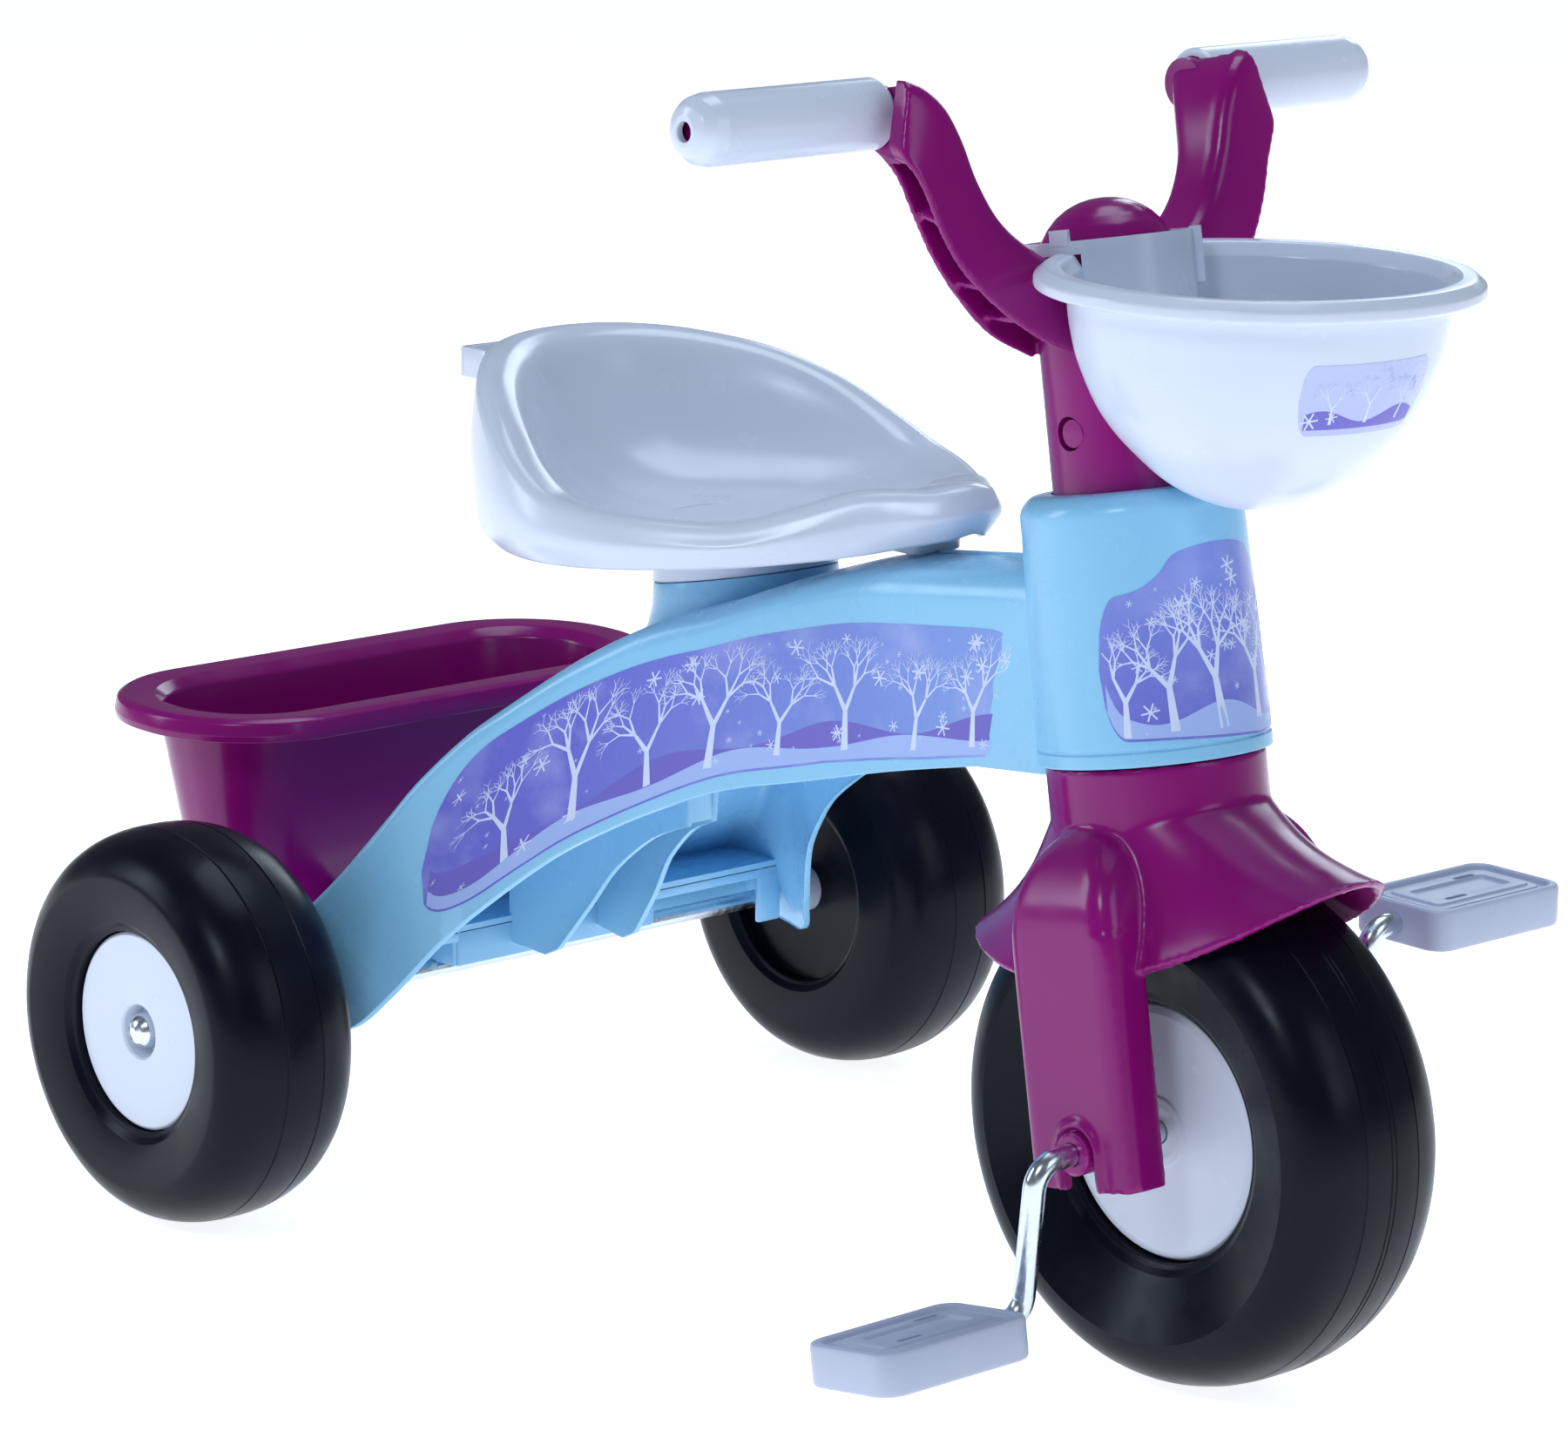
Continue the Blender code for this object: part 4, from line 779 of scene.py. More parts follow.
def fork_piece():
    """The fork: lower column with its stub, skirt and two slotted legs, fused into one skin."""
    column = filleted([(0.0, 106.0), (42.0, 106.0, 1.0), (LOWER_R, 108.0, 1.0), (LOWER_R, 143.1, 0.8),
                       (38.0, 143.1, 0.2), (38.0, 236.0, 0.5), (26.0, 236.0, 0.5),
                       (26.0, 262.0, 0.4), (0.0, 262.0)], 1.0)
    shapes = [turned(column, 160), skirt()]
    for side, _ in SIDES:
        shapes += fork_leg(side)
        shapes.append(slot_lip(side))
    item = piece("fork_moulding", shapes, STEERING_MM, "magenta")
    fuse(item, 1.1, 4)
    ways = []
    for side, name in SIDES:
        low, high = beside(side, 58.0, 75.0)
        slot = slab((BUSH_F - SLOT_HALF, low, -40.0), (BUSH_F + SLOT_HALF, high, 0.0), 0.5, 0.2)
        near, far = BUSH_SEAT_Y
        hole = moved(turned([(0.0, near), (BUSH_SEAT_R, near), (BUSH_SEAT_R, far), (0.0, far)],
                            48), shift(BUSH_F, 0.0, 0.0) @ along_y(side))
        ways.append(cutter("slot_way_" + name, [slot], STEERING_MM))
        ways.append(cutter("bush_way_" + name, [hole], STEERING_MM))
    level = slab((-60.0, -90.0, -40.0), (60.0, 90.0, LEG_FOOT), 1.0, 0.2)
    ways.append(cutter("leg_foot_way", [level], STEERING_MM))
    carve(item, *ways)
    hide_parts("fork")
    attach(item, "steering")


# ------------------------------------------------------------------ handlebar and grips

# inner (y, s), outer (y, s), front f, back f, and how much shorter the back flange is
ARM = [
    (91.0, 409.0, 99.0, 383.0, -1.5, -43.5, 13.0), (83.0, 405.5, 98.0, 378.0, 0.5, -40.0, 14.0),
    (75.0, 397.5, 94.5, 372.0, 2.0, -34.0, 16.0), (68.5, 385.0, 90.5, 363.0, 2.5, -28.0, 15.0),
    (63.0, 369.0, 86.0, 350.0, 3.0, -24.0, 12.0), (54.0, 353.0, 77.5, 335.0, 4.0, -23.0, 9.5),
    (41.0, 341.0, 63.0, 319.0, 7.0, -24.0, 7.5), (28.0, 333.0, 44.0, 305.5, 10.0, -26.0, 5.0),
    (10.0, 328.0, 20.0, 297.0, 12.0, -27.0, 2.0),
]
ARM_WALL = 2.6
ELBOW_LOW = 376.5              # the solid elbow stops here; below it the channel is open
ELBOW_ROWS, RIB_ROWS, WEB_ROWS = slice(0, 17), slice(10, 46), (24, 34, 40)
BOLT_S = 270.0
GRIP_F, GRIP_S, GRIP_START, GRIP_END = -30.0, 397.5, 85.3, 179.0


def arm_point(row, side, w, f):
    """A point of an arm's section: w across it from its inner line, f forward."""
    inner_y, inner_s, outer_y, outer_s = row[:4]
    across = Vector((outer_y - inner_y, outer_s - inner_s)).normalized()
    return f, side * (inner_y + across.x * w), inner_s + across.y * w


def arm_width(row):
    """From an arm's inner line to its outer line."""
    return Vector((row[2] - row[0], row[3] - row[1])).length


def arm_channel(row, side):
    """A channel section: inner wall, front flange and shorter back flange."""
    front, back, short = row[4:]
    width = arm_width(row)
    path = [(width, front, 0.8), (0.0, front, 8.0), (0.0, back, 8.0), (width - short, back, 0.8),
            (width - short, back + ARM_WALL, 0.8), (ARM_WALL, back + ARM_WALL, 5.4),
            (ARM_WALL, front - ARM_WALL, 5.4), (width, front - ARM_WALL, 0.8)]
    return [arm_point(row, side, w, f) for w, f in filleted(path, 1.0, 5, True)]


def arm_block(row, side, low, high, inset=1.0):
    """A solid section between two depths, for webs and ends inside the channel."""
    front, back = row[4] - inset, row[5] + inset
    reach = arm_width(row)
    path = [(high * reach, front, 1.0), (low * reach, front, 6.0), (low * reach, back, 6.0),
            (high * (reach - row[6]), back, 1.0)]
    return [arm_point(row, side, w, f) for w, f in filleted(path, 1.0, 4, True)]


def arm_rib(row, side):
    """A thin rib that runs along the middle of the channel."""
    middle, reach = (row[4] + row[5]) / 2, 0.5 * arm_width(row)
    return [arm_point(row, side, w, middle + f) for w, f in
            ((1.0, -0.8), (reach, -0.7), (reach, 0.7), (1.0, 0.8))]


def handlebar_arm(side):
    """One arm: channel, solid elbow, long rib and three webs."""
    rows = refined(ARM, 6)
    shapes = [loft([arm_channel(row, side) for row in rows])]
    elbow = [arm_block(row, side, 0.02, 1.0, 0.4) for row in rows[ELBOW_ROWS]]
    shapes.append(loft([[(f, y, max(s, ELBOW_LOW)) for f, y, s in ring] for ring in elbow]))
    shapes.append(loft([arm_rib(row, side) for row in rows[RIB_ROWS]]))
    for place in WEB_ROWS:
        ring = arm_block(rows[place], side, 0.05, 0.86)
        other = arm_block(rows[place + 1], side, 0.05, 0.86)
        half = [tuple(Vector(a).lerp(Vector(b), 0.85)) for a, b in zip(ring, other)]
        shapes.append(loft([ring, half]))
    return shapes


def handlebar_piece():
    """The upper column with its dome and both arms, fused into one skin."""
    dome = [(0.0, 357.5), (5.0, 357.1), (9.5, 356.0), (14.0, 354.0), (18.3, 351.0), (22.0, 347.0),
            (25.0, 342.2), (27.3, 336.5), (28.7, 330.0), (29.4, 322.5), (29.5, 317.5)]
    column = list(reversed(dome)) + [(0.0, 357.5)]
    profile = [(0.0, 236.2), (28.5, 236.2), (UPPER_R, 237.5)] + column[:-1]
    shapes = [turned(profile, 128)]
    for side, _ in SIDES:
        shapes += handlebar_arm(side)
    item = piece("handlebar_moulding", shapes, STEERING_MM, "magenta")
    fuse(item, 1.0, 3)
    ways = []
    for side, name in SIDES:
        low, high = beside(side, GRIP_START - 0.4, 120.0)
        end = slab((-60.0, low, 380.5), (-14.5, high, 430.0), 0.5, 0.2)
        ways.append(cutter("end_way_" + name, [end], STEERING_MM))
        low, high = beside(side, 86.0, 121.0)
        rear = slab((-61.0, low, 340.0), (-9.0, high, 431.0), 0.5, 0.2)
        ways.append(cutter("rear_way_" + name, [rear], STEERING_MM))
        hole = [(0.0, 22.0), (6.6, 22.0), (6.6, 40.0), (0.0, 40.0)]
        way = moved(turned(hole, 48), shift(0.0, 0.0, BOLT_S) @ along_y(side))
        ways.append(cutter("bolt_way_" + name, [way], STEERING_MM))
    carve(item, *ways)
    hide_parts("handlebar")
    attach(item, "steering")


def bolt_caps():
    """The plastic plugs that show as a crescent in the mouths of the column's cross hole."""
    for side, name in SIDES:
        cap = filleted([(0.0, 20.0), (5.5, 20.0), (5.5, 29.2, 0.5), (0.0, 29.3)], 0.5)
        place = shift(1.6, 0.0, BOLT_S) @ along_y(side)
        cap_piece = piece("bolt_cap_" + name, [moved(turned(cap, 48), place)], STEERING_MM,
                          "magenta")
        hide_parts("stem_bolt" if side < 0 else "stem_nut")
        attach(cap_piece, "steering")


def grips():
    """The bars' cores, and the sleeves over them."""
    for side, name in SIDES:
        core = filleted([(0.0, 80.0), (10.2, 80.0, 0.3), (10.2, 173.0, 2.0), (0.0, 174.0)], 0.5)
        place = shift(GRIP_F, 0.0, GRIP_S) @ along_y(side)
        core_piece = piece("bar_core_" + name, [moved(turned(core, 48), place)], STEERING_MM,
                           "magenta")
        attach(core_piece, "steering")
        grip_piece(name, place)


def grip_piece(name, place):
    """A sleeve with a round end, pierced so that the bar's end shows."""
    profile = filleted([(10.5, 85.6, 0.3), (12.9, 85.6, 0.8), (13.7, 87.2, 1.0), (13.7, 168.0, 3.0),
                        (12.6, 173.4, 4.0), (9.6, 177.4, 4.0), (6.0, 178.9, 2.0),
                        (3.8, 179.1, 0.8), (3.8, 176.0, 0.4), (10.5, 175.0, 0.4)], 1.0, 6, True)
    item = piece("grip_sleeve_" + name, [moved(turned(profile, 72), place)], STEERING_MM, "white")
    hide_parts("grip_" + name)
    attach(item, "steering")


# ------------------------------------------------------------------ basket

BASKET_X, BASKET_RIM_R, BASKET_RIM_Z = 17.7, 84.0, 433.6
BOWL = [(71.4, 423.0), (70.2, 414.0), (67.0, 401.0), (60.0, 385.0), (52.6, 374.4), (44.0, 365.5),
        (35.5, 358.0), (25.6, 352.0), (13.0, 347.4), (0.0, 346.0)]
BOWL_FINE = refined(BOWL, 4)


def basket_piece():
    """A bowl with a flat rolled rim, open behind, where a band hugs the column."""
    top = BASKET_RIM_Z
    rim = filleted([(71.4, 423.0, 2.0), (73.0, top - 5.5, 3.0), (79.5, top - 4.2, 1.5),
                    (81.5, top - 6.0, 0.8), (84.0, top - 5.0, 1.6), (84.0, top - 1.0, 2.0),
                    (80.0, top + 2.4, 2.5), (74.0, top + 2.2, 2.5), (70.0, top - 3.0, 3.0),
                    (68.6, top - 11.0, 2.0)], 1.5, 5)
    inside = [(max(r - 2.8, 0.0), z + (0.6 if r > 50.0 else 2.8)) for r, z in BOWL_FINE[3:]]
    profile = list(reversed(BOWL_FINE))[:-1] + rim + inside
    profile[-1] = (0.0, profile[-1][1])
    bowl = moved(turned(profile, 160), shift(BASKET_X, 0.0, 0.0))
    item = piece("basket_moulding", [bowl], CHASSIS_MM, "white")
    hollow = turned([(0.0, 180.0), (32.6, 180.0), (32.6, 420.0), (0.0, 420.0)])
    ways = [cutter("basket_hollow", [hollow], STEERING_MM)]
    for side, name in SIDES:
        rings = []
        for row in refined(ARM, 4):
            reach = arm_width(row)
            path = [(reach + 1.0, row[4] + 0.7, 0.5), (-0.7, row[4] + 0.7, 8.0),
                    (-0.7, row[5] - 0.7, 8.0), (reach + 1.0, row[5] - 0.7, 0.5)]
            rings.append([arm_point(row, side, w, f) for w, f in filleted(path, 1.0, 4, True)])
        ways.append(cutter("basket_arm_way_" + name, [loft(rings)], STEERING_MM))
    carve(item, *ways)
    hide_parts("basket")
    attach(item, "steering")
    basket_clip()


def arc_wall(radii, turns, heights):
    """Part of a round wall: radii (inner, outer), turns in degrees (from, to), and heights."""
    (inner, outer), (start, stop), (low, high) = radii, turns, heights
    steps = max(int(abs(stop - start) / 4), 2)
    angles = [math.radians(start + (stop - start) * k / steps) for k in range(steps + 1)]
    outline = [(inner * math.cos(t), inner * math.sin(t)) for t in angles]
    outline += [(outer * math.cos(t), outer * math.sin(t)) for t in reversed(angles)]
    rings = [[(f, y, s) for f, y in outline] for s in (low, low + 0.6, high - 0.6, high)]
    return loft(rings)


def basket_clip():
    """The clip round the column: a wall inside the bowl, and a ring over the arms behind."""
    shapes = [arc_wall((30.1, 32.9), (-62.0, 58.0), (315.0, 342.5)),
              arc_wall((30.6, 33.0), (56.0, 300.0), (337.4, 342.5)),
              arc_wall((31.0, 33.4), (-84.0, -70.0), (341.0, 347.0)),
              arc_wall((32.0, 36.5), (38.0, 48.0), (322.0, 343.2))]
    item = piece("basket_clip", shapes, STEERING_MM, "white")
    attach(item, "steering")


# ------------------------------------------------------------------ wheels, crank and pedals

def tyre_arc(radius, half_w, root_r, power, steps=44):
    """Points over a tyre from its far side, over the tread, to its near side."""
    middle = root_r + 0.45 * (radius - root_r)
    points = []
    for k in range(steps + 1):
        t = math.radians(-82.0 + 164.0 * k / steps)
        up = abs(math.cos(t)) ** (2.0 / power)
        out = abs(math.sin(t)) ** (2.0 / power) * (1 if t >= 0 else -1)
        points.append((middle + (radius - middle) * up, half_w * out))
    return points


def with_grooves(arc, grooves, depth=0.45, half=0.5):
    """Cut thin grooves into a tyre's arc at given distances across it."""
    made = []
    for (r, y), (r2, y2) in zip(arc, arc[1:]):
        made.append((r, y))
        for at in grooves:
            if y < at <= y2:
                t = (at - y) / (y2 - y)
                level = r + (r2 - r) * t
                made += [(level, at - half), (level - depth, at), (level, at + half)]
    made.append(arc[-1])
    return made


def wheel_profile(radius, half_w, hub_r, near_face, far_face, power, grooves):
    """Closed profile: hub seat, sidewall step, tyre, and the same on the far side."""
    near_seat, far_seat = near_face - 4.8, -(far_face - 4.8)
    arc = with_grooves(tyre_arc(radius, half_w, hub_r, power), grooves)
    side_near = [(hub_r + 5.0, near_face + 4.8, 1.0), (hub_r + 2.4, near_face + 2.6, 1.0),
                 (hub_r + 0.5, near_face + 2.0, 0.6), (hub_r + 0.5, near_seat, 0.4)]
    side_far = [(r, near_face - far_face - z, c) for r, z, c in reversed(side_near)]
    body = filleted([(11.0, far_seat, 0.4)] + side_far + [(*arc[0], 0.0)], 0.5, 3)[:-1]
    ending = filleted([(*arc[-1], 0.0)] + side_near + [(11.0, near_seat, 0.4)], 0.5, 3)[1:]
    return body + arc + ending


def rear_wheels():
    """Both rear tyres and the discs pressed into them."""
    face = REAR_HUB_FACE
    for side, name in SIDES:
        place = shift(REAR_X, side * REAR_TRACK, REAR_R) @ along_y(side)
        profile = wheel_profile(REAR_R, REAR_HALF_W, REAR_HUB_R, face, REAR_HALF_W - 4.0, 2.35,
                                (-9.0, 9.0))
        tyre = piece("rear_tyre_" + name, [turned(profile, 160)], place, "black", 30.0)
        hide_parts("rear_wheel_" + name)
        hub = filleted([(10.6, face - 4.4, 0.2), (41.9, face - 4.4, 0.3), (41.9, face - 1.0, 0.8),
                        (40.6, face, 1.2), (12.2, face, 0.8), (11.2, face - 0.9, 0.5),
                        (9.8, face - 8.3, 0.5), (4.4, face - 8.3, 0.2), (4.4, -35.0, 0.3),
                        (10.6, -35.0, 0.6)], 0.5, 4, True)
        disc = piece("rear_disc_" + name, [turned(hub, 128)], place, "white")
        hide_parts("rear_hub_" + name)
        for item in (tyre, disc):
            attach(item, "rear_wheel_" + name + "_body")


def front_wheel():
    """The front tyre and a disc on each side of it."""
    face = FRONT_HUB_FACE
    profile = wheel_profile(FRONT_R, FRONT_HALF_W, FRONT_HUB_R, face, face, 2.6,
                            (-14.0, -1.2, 1.2, 14.0))
    tyre = piece("front_tyre", [moved(turned(profile, 192), along_y(1))], FRONT_WHEEL_MM,
                 "black", 30.0)
    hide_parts("front_wheel")
    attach(tyre, "front_wheel_set")
    for side, name in SIDES:
        hub = filleted([(4.8, 0.3, 0.2), (10.6, 0.3, 0.3), (10.6, face - 4.4, 0.4),
                        (50.9, face - 4.4, 0.3), (50.9, face - 3.0, 1.0), (49.6, face - 1.0, 1.5),
                        (46.5, face, 3.0), (14.5, face, 0.6), (13.6, face + 0.7, 0.6),
                        (10.4, face + 0.7, 0.6), (4.8, face, 0.4)], 0.5, 4, True)
        disc = piece("front_disc_" + name, [moved(turned(hub, 128), along_y(side))],
                     FRONT_WHEEL_MM, "white")
        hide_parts("front_hub_" + name)
        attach(disc, "front_wheel_set")


CRANK_R, CRANK_TILT, CRANK_ARM_Y, ROD_R = 63.5, math.radians(5.4), 87.0, 4.5
PEDAL_MID_Y, PEDAL_HALF = 140.0, (24.0, 38.0, 8.5)


def bent(corners, radius, steps=12):
    """A path in space with round bends."""
    path = [Vector(corners[0])]
    for before, corner, after in zip(corners, corners[1:], corners[2:]):
        corner = Vector(corner)
        back, ahead = (Vector(before) - corner).normalized(), (Vector(after) - corner).normalized()
        half_angle = back.angle(ahead) / 2.0
        reach = radius / math.tan(half_angle)
        centre = corner + (back + ahead).normalized() * (radius / math.sin(half_angle))
        start = (corner + back * reach - centre).normalized()
        end = (corner + ahead * reach - centre).normalized()
        path += [centre + start.slerp(end, k / steps) * radius for k in range(steps + 1)]
    path.append(Vector(corners[-1]))
    return path


def crank_piece():
    """The bent steel rod that is axle, crank arms and pedal spindles in one."""
    tip_x, tip_z = CRANK_R * math.sin(CRANK_TILT), CRANK_R * math.cos(CRANK_TILT)
    corners = [(-tip_x, -172.0, -tip_z), (-tip_x, -CRANK_ARM_Y, -tip_z), (0.0, -CRANK_ARM_Y, 0.0),
               (0.0, CRANK_ARM_Y, 0.0), (tip_x, CRANK_ARM_Y, tip_z), (tip_x, 172.0, tip_z)]
    item = piece("crank_rod", [tube(bent(corners, 10.5), ROD_R, 32)], FRONT_WHEEL_MM, "steel")
    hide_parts("crank")
    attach(item, "front_wheel_set")
    for side, name in SIDES:
        pitch = math.radians(-9.0) if side < 0 else 0.0
        place = (FRONT_WHEEL_MM @ shift(side * tip_x, 0.0, side * tip_z)
                 @ Matrix.Rotation(pitch, 4, "Y") @ shift(0.0, side * PEDAL_MID_Y, 0.0))
        pedal_piece(name, place)


def pedal_piece(name, place):
    """A pedal: a rim round a sunk tread with stepped ovals, the same above and below."""
    half_x, half_y, half_z = PEDAL_HALF
    upper = [(0.0, half_z - 2.0, 0.0), (0.4, half_z - 0.6, 0.8), (1.6, half_z, 0.8),
             (3.0, half_z, 0.5), (3.8, half_z - 0.7, 0.4), (4.2, half_z - 2.4, 0.4),
             (7.0, half_z - 2.4, 0.3), (7.5, half_z - 1.2, 0.3), (10.4, half_z - 1.2, 0.3),
             (10.9, half_z - 0.2, 0.3), (16.0, half_z - 0.2, 0.3), (16.5, half_z - 1.6, 0.3),
             (19.0, half_z - 1.6, 0.3)]
    half_path = filleted(upper, 0.4, 3)
    rings = []
    for inset, z in [(i, -z) for i, z in reversed(half_path)] + half_path:
        corner = max(9.0 - inset * 0.55, 2.0)
        corner = min(corner, half_x - inset - 0.1)
        outline = rounded_rect(half_x - inset, half_y - inset, corner, 8)
        rings.append([(x, y, z) for x, y in outline])
    item = piece("pedal_tread_" + name, [loft(rings)], place, "pedal")
    ways = []
    for sign in (-1, 1):
        for x, y in ((-9.5, 13.0), (9.5, -13.0)):
            low_z, high_z = sorted((sign * 4.5, sign * 12.0))
            ways.append(slab((x - 1.4, y - 6.0, low_z), (x + 1.4, y + 6.0, high_z), 1.0, 0.1))
    carve(item, cutter("pedal_way_" + name, ways, place))
    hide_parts("pedal_" + name)
    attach(item, "pedal_" + name + "_body")


def axle_caps():
    """The domed caps on the ends of the rear axle."""
    profile = filleted([(4.4, 203.9, 0.2), (8.0, 203.9, 0.4), (7.9, 207.0, 1.0), (7.0, 210.4, 2.5),
                        (4.8, 212.8, 2.0), (2.0, 213.8, 1.0), (0.0, 213.9)], 0.5, 4)
    profile = [(0.0, 210.2), (4.4, 209.2)] + profile
    for side, name in SIDES:
        place = shift(REAR_X, 0.0, REAR_R) @ along_y(side)
        item = piece("cap_dome_" + name, [turned(profile, 48)], place, "steel")
        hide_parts("axle_cap_" + name)
        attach(item, "frame")


# ------------------------------------------------------------------ stickers

BAND_LOW = [(-62.0, 0.05), (-121.3, 0.05), (-173.0, 0.08), (-224.7, 0.08), (-263.1, 0.06),
            (-305.5, 0.06), (-352.0, 0.10)]
BAND_HIGH = [(-62.0, 0.70), (-103.8, 0.72), (-167.4, 0.75), (-228.2, 0.78), (-267.8, 0.80),
             (-300.2, 0.82), (-327.9, 0.84), (-352.0, 0.84)]
BAND_ENDS = (-67.0, -349.5)
SHEET_LOW, SHEET_HIGH, ART_HIGH = -0.6, 0.16, 0.24


def between(table, at):
    """Linear reading of a table whose first numbers fall."""
    for (x0, v0), (x1, v1) in zip(table, table[1:]):
        if x0 >= at >= x1:
            return v0 + (v1 - v0) * (x0 - at) / (x0 - x1)
    return table[0][1] if at > table[0][0] else table[-1][1]


def beam_row(x):
    """The beam's section at x, from the fine rows."""
    for row, after in zip(BEAM_ROWS, BEAM_ROWS[1:]):
        if row[0] >= x >= after[0]:
            t = (row[0] - x) / (row[0] - after[0])
            return tuple(a + (b - a) * t for a, b in zip(row, after))
    return BEAM_ROWS[0]


def band_surface(side):
    """Takes (distance back, height above the lower edge, lift) to a point of the side panel."""
    def at(u, v, lift):
        row = beam_row(-u)
        share = v / (row[4] - BEAM_CORNER - row[2])
        y, z = beam_side(row, share)
        ahead, behind = beam_row(-u + 2.0), beam_row(-u - 2.0)
        ya, za = beam_side(ahead, share)
        yb, zb = beam_side(behind, share)
        along = Vector((ahead[0] - behind[0], ya - yb, za - zb))
        up = Vector((0.0, row[3] - row[1], row[4] - BEAM_CORNER - row[2]))
        normal = up.cross(along).normalized()
        if normal.y < 0.0:
            normal = -normal
        point = Vector((-u, y, z)) + normal * lift
        return point.x, side * point.y, point.z
    return at


def collar_surface(u, v, lift):
    """Takes (distance round from the front, height, lift) to a point of the collar."""
    radius = 43.2 + (45.2 - 43.2) * (226.0 - v) / 74.0
    turn = u / 44.3
    return (radius + lift) * math.cos(turn), (radius + lift) * math.sin(turn), v


def bowl_surface(u, v, lift):
    """Takes (distance round from the front, height, lift) to a point of the basket's bowl."""
    table = [(z, r) for r, z in BOWL_FINE]
    radius = between(table, v)
    slope = (between(table, v + 1.0) - between(table, v - 1.0)) / 2.0
    tilt = math.atan(slope)
    turn = u / 65.0
    out = radius + lift * math.cos(tilt)
    return (BASKET_X + out * math.cos(turn), out * math.sin(turn), v - lift * math.sin(tilt))


def sheet(surface, columns, rows, low, high, lifts):
    """A thin closed sheet on a surface, between a lower and an upper edge.

    columns are (start, end, count), and lifts are the heights of its back and its face.
    """
    start, stop, count = columns
    rings = []
    for k in range(count + 1):
        u = start + (stop - start) * k / count
        line = [(u, low(u) + (high(u) - low(u)) * j / rows) for j in range(rows + 1)]
        front = [surface(u, v, lifts[1]) for u, v in line]
        back = [surface(u, v, lifts[0]) for u, v in reversed(line)]
        rings.append(front + back)
    return loft(rings)


def eased_ends(low, high, ends, corner, power=2.0):
    """Edges that draw together in a round at both ends."""
    start, stop = min(ends), max(ends)

    def squeeze(u):
        gap = min(u - start, stop - u, corner)
        return (1.0 - (1.0 - max(gap, 0.0) / corner) ** power) ** (1.0 / power)

    def lower(u):
        middle = (low(u) + high(u)) / 2
        return middle + (low(u) - middle) * max(squeeze(u), 0.02)

    def upper(u):
        middle = (low(u) + high(u)) / 2
        return middle + (high(u) - middle) * max(squeeze(u), 0.02)
    return lower, upper


def strip(surface, start, end, widths):
    """A short printed stroke from one place to another, tapering between two half widths."""
    along = Vector(end) - Vector(start)
    across = Vector((-along.y, along.x)).normalized()
    rings = []
    for share, width in ((0.0, widths[0]), (0.5, sum(widths) / 2), (1.0, widths[1])):
        middle = Vector(start) + along * share
        a, b = middle - across * width, middle + across * width
        rings.append([surface(a.x, a.y, ART_HIGH), surface(b.x, b.y, ART_HIGH),
                      surface(b.x, b.y, 0.0), surface(a.x, a.y, 0.0)])
    return loft(rings)


def bare_tree(surface, inside, root, height, rng):
    """A leafless tree of tapering strokes."""
    shapes = []

    def grow(start, angle, length, width, depth):
        end = (start[0] + length * math.sin(angle), start[1] + length * math.cos(angle))
        if not (inside(*start) and inside(*end)):
            return
        shapes.append(strip(surface, start, end, (width, width * 0.62)))
        if depth == 0:
            return
        for turn in ((-0.5, 0.45) if depth % 2 else (-0.36, 0.12, 0.55)):
            grow(end, angle + turn + rng.uniform(-0.16, 0.16), length * rng.uniform(0.6, 0.8),
                 width * 0.58, depth - 1)
    grow(root, rng.uniform(-0.1, 0.1), height * 0.32, height * 0.035, 5)
    return shapes


def flake(surface, inside, centre, size):
    """A six-armed snow crystal."""
    shapes = []
    for k in range(3):
        turn = math.radians(60.0 * k + 10.0)
        step = Vector((math.cos(turn), math.sin(turn))) * size
        start, end = Vector(centre) - step, Vector(centre) + step
        if inside(*start) and inside(*end):
            shapes.append(strip(surface, tuple(start), tuple(end), (size * 0.09, size * 0.09)))
    return shapes


def winter_art(surface, inside, trees, flakes, rng, span):
    """White printed trees and snow on one sticker."""
    shapes = []
    for u, v, height in trees:
        shapes += bare_tree(surface, inside, (u, v), height, rng)
    (u0, u1), (v0, v1) = span
    for _ in range(flakes):
        centre = (rng.uniform(u0, u1), rng.uniform(v0, v1))
        shapes += flake(surface, inside, centre, rng.choice((0.8, 1.0, 1.4, 2.4, 3.6)))
    return shapes


def inside_of(low, high, ends, margin=1.2):
    """A test of whether a place is on a sticker, clear of its edge."""
    start, stop = min(ends) + margin, max(ends) - margin

    def test(u, v):
        return start < u < stop and low(u) + margin < v < high(u) - margin
    return test


def band_edge(table):
    """An edge of the beam's sticker from a table of shares of the beam's height."""
    def edge(u):
        row = beam_row(-u)
        return between(table, -u) * (row[4] - row[2])
    return edge


def printed(name, shapes, place, finish, body):
    """A printed layer that rides on a body."""
    item = piece(name, shapes, place, finish)
    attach(item, body)


